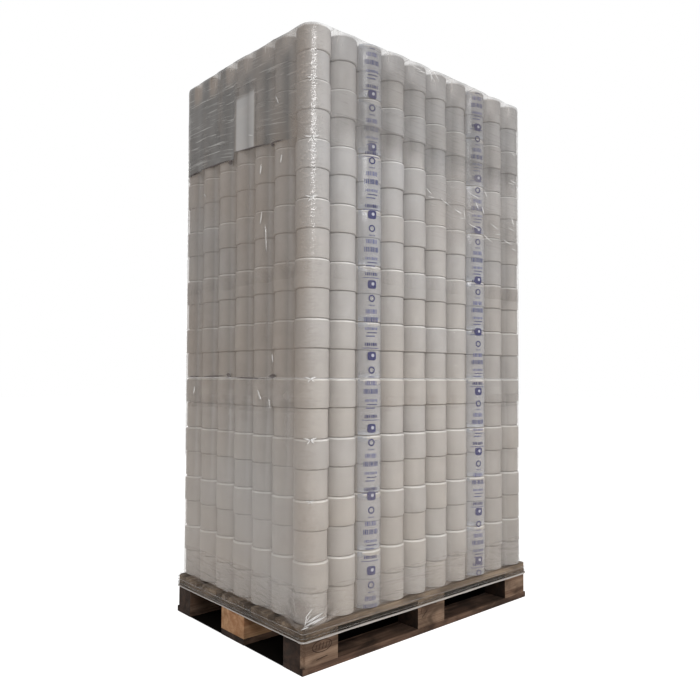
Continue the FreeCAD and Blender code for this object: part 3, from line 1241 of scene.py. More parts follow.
@dataclass
class FilmSkirt:
    """The foot of the film: it spreads from the load over the deck's edge and ends under the boards."""

    path: WrapPath
    top: float = 0.262
    foot: float = 0.101
    rows: int = 30
    haze: float = 0.025
    thickness: float = 0.6 * MM
    star_reach: float = 0.11
    star_rays: int = 9

    def place(self, station: Station, travel: float) -> tuple[Vector, float]:
        """Where a point of the skirt ends up.

        Args:
            station: Its upright line.
            travel: How far up the sheet it is, from the foot.

        Returns:
            The point and its level.
        """
        level = self.foot + travel
        deck_top = self.path.deck_top
        out = Vector((*station.out, 0.0))
        sleeve = Vector((*station.load, 0.0))
        ledge = Vector((*station.deck, 0.0))
        under = Vector((*station.pallet, 0.0))
        if level >= deck_top:
            flare = self.flare(station)
            share = min(1.0, (level - deck_top) / flare)
            share = 0.5 * share + 0.5 * ease(share, 0.0, 1.0)
            base = ledge.lerp(sleeve, share)
        else:
            base = under.lerp(ledge, min(1.0, (level - self.foot) / (deck_top - self.foot)))
        waves = 0.7 * ripple(station.along * 6.0, level * 60.0, 8.0)
        folds = 0.9 * max(0.0, ripple(station.along * 1.5, level * 190.0, 2.5)) if level < deck_top else 0.0
        stand = self.path.clearance + 1.0 * MM + (waves + folds) * MM + self.star(station, level)
        sag = 3.0 * MM * station.near_groove ** 2 * ease(level, deck_top + 0.04, self.top)
        base += out * (stand - sag)
        base.z = level
        return base, level

    def flare(self, station: Station) -> float:
        """How high above the deck the skirt leaves the load: more where the load's corners are round."""
        if station.face is Face.BACK or station.load.x < self.path.load.low.x + 0.2 < -station.load.y:
            return 0.016
        if abs(self.from_corner(station)) > 0.07:
            return 0.02
        return 0.062 if station.load.y < 0 else 0.016

    def star(self, station: Station, level: float) -> float:
        """Creases that fan out from each corner of the deck.

        Args:
            station: The upright line.
            level: The level.

        Returns:
            How far a crease stands out, in metres.
        """
        aside = self.from_corner(station)
        rise = level - self.path.deck_top + 6 * MM
        reach = math.hypot(aside, rise)
        if rise < 0 or reach > self.star_reach:
            return 0.0
        angle = math.atan2(rise, aside)
        fan = abs(math.sin(angle * self.star_rays / 2 + 0.7 * ripple(angle * 3.0, station.face.value)))
        if station.load.y > 0 or station.load.x > 0:
            return 0.0
        return 5.0 * MM * fan ** 4 * ease(reach, 0.0, 0.02) * (1 - ease(reach, 0.05, self.star_reach))

    def from_corner(self, station: Station) -> float:
        """How far along the deck's edge a line stands from the nearest corner, signed."""
        low, high = self.path.area("deck")
        near_x = min(station.deck.x - low.x, high.x - station.deck.x)
        near_y = min(station.deck.y - low.y, high.y - station.deck.y)
        along_x = station.face in (Face.FRONT, Face.BACK)
        aside = max(near_x, near_y)
        return aside if (along_x == (near_x > near_y)) else -aside

    def look(self, station: Station, level: float, travel: float) -> dict[str, float]:
        """How milky, dark and creased the skirt is at a place.

        Args:
            station: The upright line.
            level: The level.
            travel: How far up the sheet the place is; not used.

        Returns:
            The values of the mesh attributes.
        """
        deck_top, boards_foot = self.path.deck_top, self.path.deck_top - self.path.board
        low_band = 1 - ease(level, deck_top - 4 * MM, deck_top + 6 * MM)
        below_boards = 1 - ease(level, boards_foot - 4 * MM, boards_foot + 2 * MM)
        gone = ease(level, self.top - 0.05, self.top)
        gather = min(1.0, self.star(station, level) / (4.0 * MM))
        return {
            "haze": (self.haze + 0.03 * low_band + 0.10 * below_boards + 0.24 * gather) * (1 - gone),
            "deep": 0.4 * low_band + 0.6 * below_boards,
            "tint": 0.3,
            "corner": 0.1,
            "slack": 0.10 + 0.3 * gather,
            "drawn": 0.05 + 0.2 * (1 - low_band),
        }

    def build(self, material: bpy.types.Material, stands_for: Iterable[str]) -> bpy.types.Object:
        """Makes the skirt.

        Args:
            material: The film.
            stands_for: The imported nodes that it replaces.

        Returns:
            The piece.
        """
        made = wrap_sheet(Piece("film_skirt"), self.path.stations(), self.rows, self.top - self.foot,
                          self.place, self.look, material, stands_for)
        wall = made.modifiers.new("film_thickness", "SOLIDIFY")
        wall.thickness = self.thickness
        wall.offset = 1.0
        return made


@dataclass
class FilmRope:
    """Film rolled up into a cord along the deck's edge."""

    name: str
    path: WrapPath
    level: float
    thick: dict[Face, float]
    waver: float
    haze: float = 0.45
    dirt: float = 0.6
    sides: int = 8
    seed: float = 0.0

    def build(self, material: bpy.types.Material) -> bpy.types.Object:
        """Makes the rope.

        Args:
            material: The film.

        Returns:
            The piece.
        """
        piece = Piece(self.name)
        mesh = piece.mesh
        stations = self.path.stations()
        columns = len(stations)
        layers, uv = piece.film_layers()
        bmesh.ops.create_grid(mesh, x_segments=columns, y_segments=self.sides, size=0.5)
        for vert in mesh.verts:
            column = round((vert.co.x + 0.5) * columns)
            angle = (vert.co.y + 0.5) * 2 * math.pi
            for loop in vert.link_loops:
                loop[uv].uv = (stations[column % columns].along, angle * 2 * MM)
            vert.co = self.around(stations[column % columns], angle)
            vert[layers["haze"]] = self.haze
            vert[layers["deep"]] = self.dirt
            vert[layers["tint"]] = 0.6
            vert[layers["slack"]] = 0.15
        piece.close()
        return piece.finish([material], "stretch_film")

    def around(self, station: Station, angle: float) -> Vector:
        """A point on the rope's skin.

        Args:
            station: The upright line.
            angle: The turn about the rope's own line.

        Returns:
            The point.
        """
        turned = Face((station.face.value - 1) % 4)
        share = 0.5 if station.corner else 1.0
        thick = self.thick[station.face] * share + self.thick[turned] * (1 - share)
        lumps = 1 + 0.25 * ripple(station.along * 14.0, self.seed, 5.0)
        thick *= lumps
        level = self.level + self.waver * ripple(station.along * 5.0, self.seed)
        share_up = max(0.0, (level - 0.1) / (self.path.deck_top - 0.1))
        base = station.pallet.lerp(station.deck, min(1.0, share_up))
        out = station.out * (thick * math.cos(angle) + self.path.clearance + 2.2 * MM)
        return Vector((base.x + out.x, base.y + out.y, level + thick * 1.15 * math.sin(angle)))


@dataclass(frozen=True)
class Fold:
    """A crease that stands out of the film: its ends on a side, as distance along it and level."""

    face: Face
    start: tuple[float, float]
    end: tuple[float, float]
    width: float
    dark: bool = False
    by_deck: bool = False
    round_corner: bool = False


@dataclass
class Folds:
    """The single creases that catch the light or lie in shade.

    Each row of a table is a crease: its start and end as distance along the side and level, in
    metres, and its width in millimetres.
    """

    turn: FilmTurn
    segments: int = 6
    skirt_depth: float = 3.0 * MM
    left: Creases = (
        (-0.270, 1.672, -0.262, 1.640, 5.1), (-0.150, 1.664, -0.143, 1.628, 6.1),
        (-0.156, 1.500, -0.146, 1.452, 5.4), (-0.176, 1.452, -0.184, 1.352, 4.1),
        (0.296, 0.892, 0.303, 0.856, 5.4), (-0.138, 0.884, -0.158, 0.846, 5.8),
        (-0.222, 1.006, -0.228, 0.972, 4.4), (-0.205, 0.852, -0.214, 0.818, 4.1),
        (-0.232, 1.880, -0.250, 1.846, 4.1), (-0.060, 1.792, -0.104, 1.776, 3.7),
        (0.240, 1.640, 0.225, 1.622, 4.1),
    )
    left_shaded: Creases = (
        (-0.279, 1.717, -0.206, 1.726, 4.5), (-0.214, 1.724, 0.020, 1.750, 5.5),
        (0.042, 1.727, 0.281, 1.740, 7.0), (0.276, 1.740, 0.366, 1.732, 7.0),
        (0.034, 1.714, 0.066, 1.722, 20.0), (-0.228, 1.712, -0.202, 1.722, 11.0),
        (-0.200, 0.926, -0.250, 0.930, 13.0), (-0.215, 0.919, 0.040, 0.924, 5.0),
        (0.032, 0.930, 0.068, 0.932, 17.0), (0.060, 0.930, 0.250, 0.926, 5.5),
        (0.250, 0.929, 0.362, 0.924, 5.5),
    )
    front_by_deck: Creases = (
        (-0.600, 0.160, -0.524, 0.182, 3.2), (-0.606, 0.151, -0.516, 0.168, 3.7),
        (-0.570, 0.152, -0.504, 0.168, 3.0), (-0.598, 0.176, -0.560, 0.205, 2.4),
        (-0.596, 0.150, -0.586, 0.190, 2.6), (-0.584, 0.158, -0.540, 0.176, 1.8),
        (-0.560, 0.164, -0.512, 0.186, 1.8), (-0.592, 0.164, -0.570, 0.186, 1.8),
        (-0.590, 0.154, -0.530, 0.163, 2.2), (-0.612, 0.147, -0.575, 0.149, 2.8),
    )
    front: Creases = (
        (-0.040, 1.632, 0.004, 1.612, 3.2), (-0.028, 1.600, 0.024, 1.604, 2.8),
        (0.040, 1.606, 0.112, 1.584, 3.3), (0.210, 1.538, 0.300, 1.520, 3.3),
        (0.226, 1.660, 0.290, 1.646, 2.8), (0.262, 1.632, 0.282, 1.600, 3.9),
        (0.300, 1.620, 0.318, 1.586, 3.9), (0.300, 1.508, 0.380, 1.482, 3.3),
        (0.440, 1.505, 0.520, 1.488, 3.6), (0.500, 1.474, 0.545, 1.466, 3.6),
        (0.506, 1.610, 0.522, 1.570, 4.4), (0.505, 1.880, 0.540, 1.876, 3.0),
        (0.500, 1.764, 0.545, 1.756, 3.6), (-0.330, 1.304, -0.272, 1.296, 2.8),
        (0.130, 1.580, 0.178, 1.566, 3.4), (0.150, 1.548, 0.206, 1.552, 2.4),
        (0.186, 1.590, 0.198, 1.540, 2.4), (0.316, 1.690, 0.340, 1.660, 3.2),
        (0.360, 1.560, 0.420, 1.536, 3.0), (0.382, 1.516, 0.440, 1.524, 2.3),
        (0.480, 1.560, 0.540, 1.548, 2.4), (0.480, 1.752, 0.535, 1.748, 2.6),
        (-0.120, 2.074, -0.040, 2.060, 2.3), (-0.100, 2.056, -0.014, 2.064, 2.0),
        (-0.020, 2.086, 0.020, 2.044, 2.3), (-0.006, 2.088, 0.002, 2.036, 2.3),
        (0.010, 2.088, 0.044, 2.050, 2.3),
    )
    corner_arc: float = 50.0 * MM
    corner_packs: tuple[tuple[int, float], ...] = (
        (9, 0.9), (8, 1.25), (7, 1.1), (4, 1.0), (3, 1.1), (2, 0.7))
    corner_fan: tuple[tuple[float, float, float], ...] = (
        (-21, 6, 4.2), (20, 8, 4.2), (-11, -14, 3.4), (13, -12, 3.4), (8, 1, 8.0))

    def build(self, material: bpy.types.Material, bright: bpy.types.Material) -> None:
        """Makes the folds as one piece.

        Args:
            material: The film, for the folds that lie in shade.
            bright: Film that catches the light.
        """
        piece = Piece("film_folds")
        mesh = piece.mesh
        layers, uv = piece.film_layers()
        for fold in [*self.single(), *self.sparkles()]:
            grid = bmesh.ops.create_grid(mesh, x_segments=self.segments, y_segments=2, size=0.5)
            for vert in grid["verts"]:
                share = vert.co.x + 0.5
                across = vert.co.y
                for loop in vert.link_loops:
                    loop[uv].uv = (share * 0.05, across * 0.01)
                vert.co = self.place(fold, share, across)
                vert[layers["haze"]] = (0.95 if fold.dark else 0.75) * (1 - 0.8 * abs(2 * share - 1) ** 2)
                vert[layers["deep"]] = 1.6 if fold.dark else 0.0
                vert[layers["tint"]] = 1.0
                vert[layers["slack"]] = 0.2
            if not fold.dark:
                for face in {face for vert in grid["verts"] for face in vert.link_faces}:
                    face.material_index = 1
        piece.finish([material, bright], "stretch_film")

    def single(self) -> list[Fold]:
        """The folds of the tables, in order."""
        kinds = ((Face.LEFT, self.left, {}), (Face.LEFT, self.left_shaded, {"dark": True}),
                 (Face.FRONT, self.front_by_deck, {"by_deck": True}), (Face.FRONT, self.front, {}))
        return [Fold(face, row[:2], row[2:4], row[4] * MM, **kind)
                for face, rows, kind in kinds for row in rows]

    def sparkles(self) -> list[Fold]:
        """Short creases that fan out where two packs meet on the near corner.

        Returns:
            The folds, with their places along the corner's arc.
        """
        found = []
        load = self.turn.path.load
        for pack, size in self.corner_packs:
            level = load.low.z + pack * load.pack_height - 2 * MM
            for aside, rise, width in self.corner_fan:
                start = (self.corner_arc - aside * 0.15 * MM, level - rise * 0.15 * MM)
                end = (self.corner_arc + aside * size * MM, level + rise * size * MM)
                found.append(Fold(Face.FRONT, start, end, width * size * MM, round_corner=True))
        return found

    def place(self, fold: Fold, share: float, across: float) -> Vector:
        """A point of a fold.

        Args:
            fold: The fold.
            share: How far along it, from 0 to 1.
            across: From -0.5 to 0.5 over its width.

        Returns:
            The point.
        """
        start, end = Vector(fold.start), Vector(fold.end)
        way = (end - start).normalized()
        taper = (1 - abs(share - 0.5) ** 2 * 3.6) * (1.35 if fold.by_deck else 1.0)
        spot = start.lerp(end, share) + Vector((-way.y, way.x)) * (across * fold.width * taper)
        ridge = (0.5 - abs(across)) * (0.4 if fold.dark else 1.2) * fold.width + 0.8 * MM
        path = self.turn.path
        low = path.load.low
        if fold.round_corner:
            degrees = math.degrees(spot.x / path.load.radius)
            angle = math.radians(180 + degrees)
            stand = ridge + path.clearance + self.turn.proud
            flat = path.corner_point(Face.FRONT, degrees, "load", path.load.radius)
            return Vector((flat.x + stand * math.cos(angle), flat.y + stand * math.sin(angle), spot.y))
        out = ridge + (self.skirt_depth if fold.by_deck else self.depth(fold.face, spot.x))
        if fold.face is Face.LEFT:
            return Vector((low.x - out, spot.x, spot.y))
        return Vector((spot.x, low.y - out, spot.y))

    def depth(self, face: Face, along: float) -> float:
        """How far the film stands off the load's own face at a distance along a side."""
        load = self.turn.path.load
        low = load.low.x if face is Face.FRONT else load.low.y
        pitch = load.pitch if face is Face.FRONT else load.depth_pitch
        off_crown = abs(((along - low) / pitch) % 1.0 * 2 - 1)
        sunk = 5.0 if face is Face.FRONT else 1.0
        return self.turn.path.clearance + self.turn.proud + 0.6 * MM - sunk * MM * off_crown ** 2


class Ink(Enum):
    """The inks of the printed strip, by the index of their material."""

    NAVY = 0
    PALE = 1
    GREY = 2
    WHITE = 3


@dataclass
class PrintedStrip:
    """The printed middle of each pack's film, on one side of one stack."""

    load: Load
    stack: int
    face: Face
    badges: tuple[float, ...]
    half_width: float = 60.0 * MM
    bend: float = 64.0 * MM
    offset: float = -8.0 * MM
    print_offset: float = -11.0 * MM
    clearance: float = 0.25 * MM
    columns: int = 14
    rows: int = 8

    def __post_init__(self) -> None:
        """Finds the strip's middle on the load."""
        low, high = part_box(self.load.node(0, self.stack))
        self.middle = (low.x + high.x) / 2
        self.way = -1 if self.face is Face.FRONT else 1
        self.front = low.y if self.face is Face.FRONT else high.y

    def on_strip(self, across: float, level: float, proud: float = 0.0) -> Vector:
        """A point on the strip.

        Args:
            across: Distance from its middle, to the right as it is read.
            level: The level.
            proud: How far the point stands off the strip.

        Returns:
            The point.
        """
        angle = (across + self.offset) / self.bend
        round_axis = self.bend + proud
        y = self.front + self.way * (self.clearance - self.bend + round_axis * math.cos(angle))
        return Vector((self.middle - self.way * round_axis * math.sin(angle), y, level))

    def build(self, film: bpy.types.Material, inks: list[bpy.types.Material]) -> None:
        """Makes the strip's film and its print.

        Args:
            film: The tinted film.
            inks: The ink materials in the order of Ink.
        """
        label = f"{self.face.name.lower()}_stack_{self.stack + 1}"
        self.film(Piece(f"printed_film_{label}"), film)
        self.stamp_marks(Piece(f"print_{label}"), inks)

    def film(self, piece: Piece, material: bpy.types.Material) -> None:
        """Lays one length of film on each pack.

        Args:
            piece: The piece that is made.
            material: The tinted film.
        """
        mesh = piece.mesh
        layers, uv = piece.film_layers()
        margin = 2.5 * MM
        for layer in range(self.load.layers):
            foot = self.load.low.z + layer * self.load.pack_height + margin
            height = self.load.pack_height - 2 * margin
            grid = bmesh.ops.create_grid(mesh, x_segments=self.columns, y_segments=self.rows, size=0.5)
            for vert in grid["verts"]:
                across = vert.co.x * 2 * self.half_width
                share = vert.co.y + 0.5
                level = foot + share * height
                turned_in = 3.5 * MM * (ease(abs(share - 0.5), 0.40, 0.5))
                crumple = 0.8 * MM * ripple(across * 40, level * 30, layer) * ease(abs(share - 0.5), 0.2, 0.5)
                for loop in vert.link_loops:
                    loop[uv].uv = (across, level)
                vert.co = self.on_strip(across, level, -turned_in + min(0.0, crumple))
                vert[layers["haze"]] = 0.30 + 0.4 * ease(abs(share - 0.5), 0.44, 0.5)
                vert[layers["tint"]] = 0.5
                vert[layers["slack"]] = 0.12 + 0.8 * ease(abs(share - 0.5), 0.36, 0.5)
        piece.finish([material], "wrapped_rolls")

    def stamp_marks(self, piece: Piece, inks: list[bpy.types.Material]) -> None:
        """Repeats the row of plain marks down the strip.

        Args:
            piece: The piece that is made.
            inks: The ink materials.
        """
        mesh = piece.mesh
        for level in self.badges:
            self.badge(mesh, level)
            self.ring(mesh, level - 0.048)
            self.bars(mesh, level - 0.072, 5, 24 * MM, 4.0 * MM, Ink.GREY)
            self.bars(mesh, level - 0.093, 7, 46 * MM, 15.0 * MM, Ink.PALE)
            self.bars(mesh, level - 0.121, 9, 58 * MM, 17.0 * MM, Ink.GREY)
            self.bars(mesh, level - 0.152, 8, 50 * MM, 9.0 * MM, Ink.PALE)
            self.bar(mesh, 4 * MM, level - 0.166, 40 * MM, 3.0 * MM, Ink.NAVY)
            self.bar(mesh, -3 * MM, level - 0.178, 34 * MM, 3.6 * MM, Ink.GREY)
            self.bars(mesh, level - 0.206, 7, 52 * MM, 11.0 * MM, Ink.NAVY)
            self.bar(mesh, 0.0, level - 0.219, 66 * MM, 2.4 * MM, Ink.GREY)
        piece.finish(inks, "wrapped_rolls", smooth=False)

    def stamp(self, mesh: bmesh.types.BMesh, verts: list[bmesh.types.BMVert], faces: list[bmesh.types.BMFace],
              across: float, level: float, ink: Ink) -> None:
        """Lays a flat shape, made about the origin, on the strip.

        Args:
            mesh: The print's mesh.
            verts: The shape's corners.
            faces: The shape's faces.
            across: Where its middle goes across the strip.
            level: Where its middle goes up the strip.
            ink: Its ink.
        """
        low = self.load.low.z + 3 * MM
        high = self.load.high.z - 3 * MM
        if not low < level < high:
            bmesh.ops.delete(mesh, geom=verts, context="VERTS")
            return
        for vert in verts:
            height = min(high, max(low, level + vert.co.y))
            vert.co = self.on_strip(self.print_offset + across + vert.co.x, height, 0.25 * MM)
        for face in faces:
            face.material_index = ink.value

    def bar(self, mesh: bmesh.types.BMesh, across: float, level: float, width: float, height: float,
            ink: Ink) -> None:
        """Prints one upright or level bar.

        Args:
            mesh: The print's mesh.
            across: Its middle across the strip.
            level: Its middle up the strip.
            width: Its width.
            height: Its height.
            ink: Its ink.
        """
        pieces = max(1, round(width / (8 * MM)))
        grid = bmesh.ops.create_grid(mesh, x_segments=pieces, y_segments=1, size=0.5)
        verts = grid["verts"]
        bmesh.ops.scale(mesh, vec=(width, height, 1), verts=verts)
        faces = list({face for vert in verts for face in vert.link_faces})
        self.stamp(mesh, verts, faces, across, level, ink)

    def bars(self, mesh: bmesh.types.BMesh, level: float, count: int, width: float, height: float,
             ink: Ink) -> None:
        """Prints a row of upright bars of uneven width.

        Args:
            mesh: The print's mesh.
            level: The row's middle up the strip.
            count: How many bars.
            width: The row's width.
            height: The bars' height.
            ink: Their ink.
        """
        pitch = width / count
        for number in range(count):
            thick = pitch * (0.45 + 0.3 * (number * 5 % 3) / 2)
            across = (number + 0.5) * pitch - width / 2
            self.bar(mesh, across, level, thick, height, ink)

    def badge(self, mesh: bmesh.types.BMesh, level: float) -> None:
        """Prints a square with round corners and a pale dot in it.

        Args:
            mesh: The print's mesh.
            level: Its middle up the strip.
        """
        grid = bmesh.ops.create_grid(mesh, x_segments=4, y_segments=4, size=0.5)
        verts = grid["verts"]
        for vert in verts:
            if abs(vert.co.x) > 0.4 and abs(vert.co.y) > 0.4:
                vert.co.xy *= 0.86
        bmesh.ops.scale(mesh, vec=(33 * MM, 30 * MM, 1), verts=verts)
        faces = list({face for vert in verts for face in vert.link_faces})
        self.stamp(mesh, verts, faces, 2 * MM, level, Ink.NAVY)
        dot = bmesh.ops.create_circle(mesh, segments=10, radius=6 * MM, cap_ends=True)["verts"]
        self.stamp(mesh, dot, list(dot[0].link_faces), 5 * MM, level + 2 * MM, Ink.WHITE)
        for vert in dot:
            if vert.is_valid:
                vert.co.y += self.way * 0.25 * MM

    def ring(self, mesh: bmesh.types.BMesh, level: float) -> None:
        """Prints a plain ring.

        Args:
            mesh: The print's mesh.
            level: Its middle up the strip.
        """
        sides = 20
        start = bmesh.ops.create_circle(mesh, segments=sides, radius=12.5 * MM, cap_ends=True)["verts"]
        disc = list({face for vert in start for face in vert.link_faces})
        rim = bmesh.ops.inset_region(mesh, faces=disc, thickness=4.6 * MM, use_boundary=True,
                                       use_even_offset=True)["faces"]
        verts = list({vert for face in rim for vert in face.verts})
        bmesh.ops.delete(mesh, geom=disc, context="FACES_ONLY")
        self.stamp(mesh, verts, rim, 1 * MM, level, Ink.NAVY)


@dataclass
class Studio:
    """The white room, the lamps and the camera."""

    camera_place: Vector = field(default_factory=lambda: Vector((-1.9303, -2.1004, 0.9230)))
    yaw: float = 48.607
    pitch: float = 2.054
    roll: float = 0.242
    focal_pixels: float = 684.03
    image_pixels: float = 700.0
    axis_pixel: tuple[float, float] = (341.71, 353.55)
    sensor: float = 36.0
    floor_size: float = 60.0
    shadow_edge: float = 4.0 * MM
    seen_glow: float = 0.82
    lamps: tuple[tuple[str, Colour, Colour, float, float, float, bool], ...] = (
        ("key_window", (-2.85, -3.8, 3.55), (-0.4, -0.3, 1.5), 2.3, 1.7, 88.0, True),
        ("tall_window", (-2.85, -3.8, 1.45), (-0.4, -0.3, 1.2), 0.6, 2.2, 3.5, True),
        ("front_softbox", (0.8, -5.2, 1.3), (0.0, 0.0, 1.2), 3.2, 1.8, 153.0, False),
        ("left_softbox", (-5.2, 1.4, 1.6), (-0.4, 0.0, 1.4), 2.4, 1.8, 53.0, False),
        ("back_softbox", (1.5, 5.2, 2.0), (0.0, 0.0, 1.0), 3.0, 3.0, 100.0, True),
    )

    def build(self) -> None:
        """Sets up everything that isn't the object."""
        self.camera()
        self.world()
        self.floor()
        for name, place, target, width, height, power, in_gloss in self.lamps:
            lamp = self.lamp(name, Vector(place), Vector(target), width, height, power)
            lamp.visible_glossy = in_gloss
        bpy.context.scene.view_settings.view_transform = "Standard"

    def camera(self) -> None:
        """Places the camera where the photograph was taken from."""
        yaw, pitch, roll = (math.radians(value) for value in (self.yaw, self.pitch, self.roll))
        ahead = Vector((math.cos(yaw) * math.cos(pitch), math.sin(yaw) * math.cos(pitch), math.sin(pitch)))
        level = Vector((math.sin(yaw), -math.cos(yaw), 0.0))
        upright = level.cross(ahead)
        right = level * math.cos(roll) + upright * math.sin(roll)
        up = upright * math.cos(roll) - level * math.sin(roll)
        data = bpy.data.cameras.new("camera")
        data.sensor_width = self.sensor
        data.lens = self.focal_pixels * self.sensor / self.image_pixels
        data.shift_x = (self.image_pixels / 2 - self.axis_pixel[0]) / self.image_pixels
        data.shift_y = (self.axis_pixel[1] - self.image_pixels / 2) / self.image_pixels
        data.clip_start, data.clip_end = 0.05, 200.0
        camera = add_object("camera", data)
        turned = Matrix((right, up, -ahead)).transposed().to_4x4()
        camera.matrix_world = Matrix.Translation(self.camera_place) @ turned
        bpy.context.scene.camera = camera

    def world(self) -> None:
        """White behind the object and in reflections, and a softer light on it."""
        world = bpy.data.worlds.new("white_room")
        bpy.context.scene.world = world
        world.use_nodes = True
        nodes = Nodes(world.node_tree)
        backdrop = world.node_tree.nodes["Background"]
        path = nodes.add("LightPath")
        seen = nodes.most(path.outputs["Is Camera Ray"], path.outputs["Is Transmission Ray"])
        light = nodes.plus(nodes.times(seen, 0.73), nodes.times(path.outputs["Is Glossy Ray"], 0.25), 0.27)
        nodes.feed(backdrop, Color=(1.0, 1.0, 1.0), Strength=light)

    def floor(self) -> None:
        """A pale floor that is white to the camera, keeps the shadow, and has a painted shadow: dark below
        the pallet and in a strip beside its right side.
        """
        mesh = bmesh.new()
        bmesh.ops.create_grid(mesh, x_segments=1, y_segments=1, size=self.floor_size / 2)
        bmesh.ops.translate(mesh, vec=(0, 0, -0.2 * MM), verts=mesh.verts)
        data = bpy.data.meshes.new("floor")
        mesh.to_mesh(data)
        mesh.free()
        floor = add_object("floor", data)
        material, nodes, surface = new_material("pale_floor")
        path = nodes.add("LightPath")
        seen = nodes.most(*(path.outputs[f"Is {kind} Ray"] for kind in ("Camera", "Glossy", "Transmission")))
        place = nodes.add("SeparateXYZ")
        nodes.feed(place, Vector=nodes.add("TexCoord").outputs["Object"])
        low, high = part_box("base_board_front")[0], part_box("base_board_back")[1]
        # painted shadow: below the pallet and beside it the floor is painted dark and takes no glow
        below = self.patch(nodes, place, low, high, self.shadow_edge)
        behind = self.patch(nodes, place, Vector((0.45, -0.215)), Vector((0.82, -0.145)), 0.01)
        inside = nodes.most(below, behind)
        white = nodes.times(seen, nodes.math("SUBTRACT", 1.0, inside))
        colour = nodes.mix(seen, srgb(206, 196, 184), (0.8, 0.8, 0.8))
        nodes.feed(surface, Base_Color=nodes.mix(inside, colour, srgb(22, 19, 17)), Roughness=0.9,
                   Specular_IOR_Level=0.0, Emission_Color=(1.0, 1.0, 1.0),
                   Emission_Strength=nodes.times(white, self.seen_glow))
        data.materials.append(material)

    def patch(self, nodes: Nodes, place: bpy.types.Node, low: Vector, high: Vector,
              edge: float) -> bpy.types.NodeSocket:
        """Masks a rectangle of the floor where the shadow is painted.

        Args:
            nodes: The floor material's nodes.
            place: The node that splits the place into its axes.
            low: The rectangle's low corner.
            high: Its high corner.
            edge: How far its border is blurred, inside it.

        Returns:
            The mask.
        """
        inside = 1.0
        for axis, start, end in (("X", low.x, high.x), ("Y", low.y, high.y)):
            after = nodes.ramp(place.outputs[axis], start, start + edge)
            before = nodes.ramp(place.outputs[axis], end - edge, end, 1.0, 0.0)
            inside = nodes.times(inside, nodes.times(after, before))
        return inside

    def lamp(self, name: str, place: Vector, target: Vector, width: float, height: float,
             power: float) -> bpy.types.Object:
        """Adds a soft rectangular lamp.

        Args:
            name: Its name.
            place: Where it stands.
            target: Where it points.
            width: Its width.
            height: Its height.
            power: Its power in watts.

        Returns:
            The lamp.
        """
        data = bpy.data.lights.new(name, "AREA")
        data.shape = "RECTANGLE"
        data.size = width
        data.size_y = height
        data.energy = power
        lamp = add_object(name, data)
        lamp.location = place
        lamp.rotation_euler = (target - place).to_track_quat("-Z", "Y").to_euler()
        return lamp


def build_print(load: Load, effects: Effects) -> None:
    """Makes the printed strips of the packs on the two long sides.

    Args:
        load: The packs.
        effects: The shared shader groups.
    """
    tinted = FilmFinish.plain("printed_film", srgb(180, 185, 195), 0.25, 0.5 * MM).build(effects)
    inks = [
        InkFinish("navy_ink", srgb(26, 32, 92), 1.0).build(),
        InkFinish("pale_ink", srgb(92, 98, 148), 0.78).build(),
        InkFinish("grey_ink", srgb(60, 68, 118), 0.92).build(),
        InkFinish("white_ink", srgb(190, 192, 204), 0.9).build(),
    ]
    badges = {
        0: (2.142, 1.908, 1.723, 1.487, 1.245, 0.999, 0.752, 0.523, 0.272),
        1: (2.150, 1.939, 1.730, 1.520, 1.318, 1.110, 0.872, 0.634, 0.396, 0.205),
    }
    for stack, levels in badges.items():
        for face in (Face.FRONT, Face.BACK):
            PrintedStrip(load, stack, face, levels).build(tinted, inks)


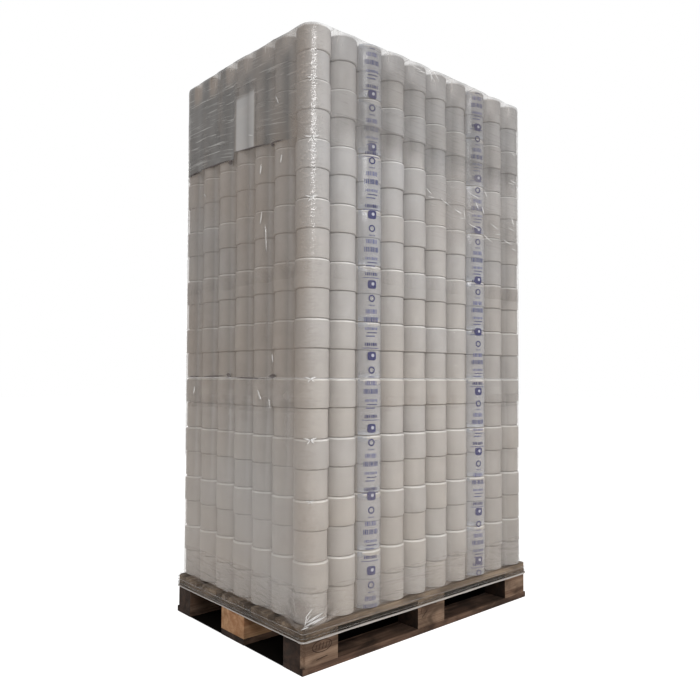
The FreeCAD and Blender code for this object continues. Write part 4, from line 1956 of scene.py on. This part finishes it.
def build_film(load: Load, effects: Effects) -> None:
    """Wraps the load in its turns of film, its skirt, its hem and their folds.

    Args:
        load: The packs.
        effects: The shared shader groups.
    """
    film = FilmFinish("stretch_film", srgb(182, 164, 147), srgb(192, 191, 191), srgb(142, 129, 120),
                      srgb(84, 79, 74), 0.5, 0.9 * MM).build(effects)
    shaded = FilmFinish.plain("shaded_folds", srgb(66, 52, 50), 0.0, 0.4 * MM, 1.2).build(effects)
    path = WrapPath(load)
    taut = {Face.FRONT: {0, 1, 5, 6}, Face.LEFT: {2, 4}, Face.BACK: {1, 4}}
    FilmTurn("film_turn_foot", path, 0.150, 0.86, 62, proud=0.9 * MM, seed=1.0, open_foot=False).build(film)
    FilmTurn("film_turn_middle", path, 0.81, 1.30, 44, proud=1.5 * MM, seed=4.0).build(film)
    FilmTurn("film_turn_upper", path, 1.25, 1.80, 50, proud=2.0 * MM, seed=6.0).build(film)
    head = HeadTurn("film_turn_head", path, 1.725, load.high.z, 42, proud=2.4 * MM, lip=0.075, seed=9.0,
                    taut_grooves=taut, fade=2.0 * MM)
    head.build(film)

    fine = WrapPath(load, steps=16, corner_steps=16)
    dusty = FilmFinish("dusty_film", srgb(178, 164, 154), srgb(188, 188, 188), srgb(142, 129, 120),
                       srgb(70, 60, 48), 0.5, 0.9 * MM, gloss_ior=1.22).build(effects)
    FilmSkirt(fine).build(dusty, ["stretch_wrap"])
    hem = {Face.FRONT: 3.4 * MM, Face.RIGHT: 3.0 * MM, Face.BACK: 3.0 * MM, Face.LEFT: 2.0 * MM}
    FilmRope("film_hem", fine, 0.1025, hem, 1.5 * MM, haze=0.75, dirt=0.0, seed=2.0).build(film)
    thin = {face: 0.9 * MM for face in Face}
    FilmRope("film_ridge_low", fine, 0.113, thin, 3.0 * MM, sides=6, seed=5.0).build(film)
    FilmRope("film_ridge_high", fine, 0.129, thin, 4.0 * MM, sides=6, dirt=0.2, seed=8.0).build(film)
    bright = FilmFinish.plain("bright_folds", srgb(238, 238, 238), 0.2, 0.6 * MM).build(effects)
    Folds(head).build(shaded, bright)


def main() -> None:
    """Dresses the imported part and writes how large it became."""
    logging.basicConfig(level=logging.INFO, format="%(message)s")
    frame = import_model()
    effects = Effects()
    Pallet(effects).dress(frame)

    load = Load()
    tissue = TissueFinish("tissue", srgb(172, 172, 174), srgb(182, 175, 167), 0.15, 0.6).build()
    # painted highlight along the packs' folded film rims
    rim = TissueFinish("pack_film_rim_highlight", srgb(232, 232, 232), srgb(232, 228, 222), 0.9, 0.3).build()
    core = CardFinish("core_card", srgb(158, 140, 118), srgb(118, 100, 82)).build()
    load.build([tissue, rim, core])
    build_print(load, effects)
    build_film(load, effects)

    Studio().build()


if __name__ == "__main__":
    main()
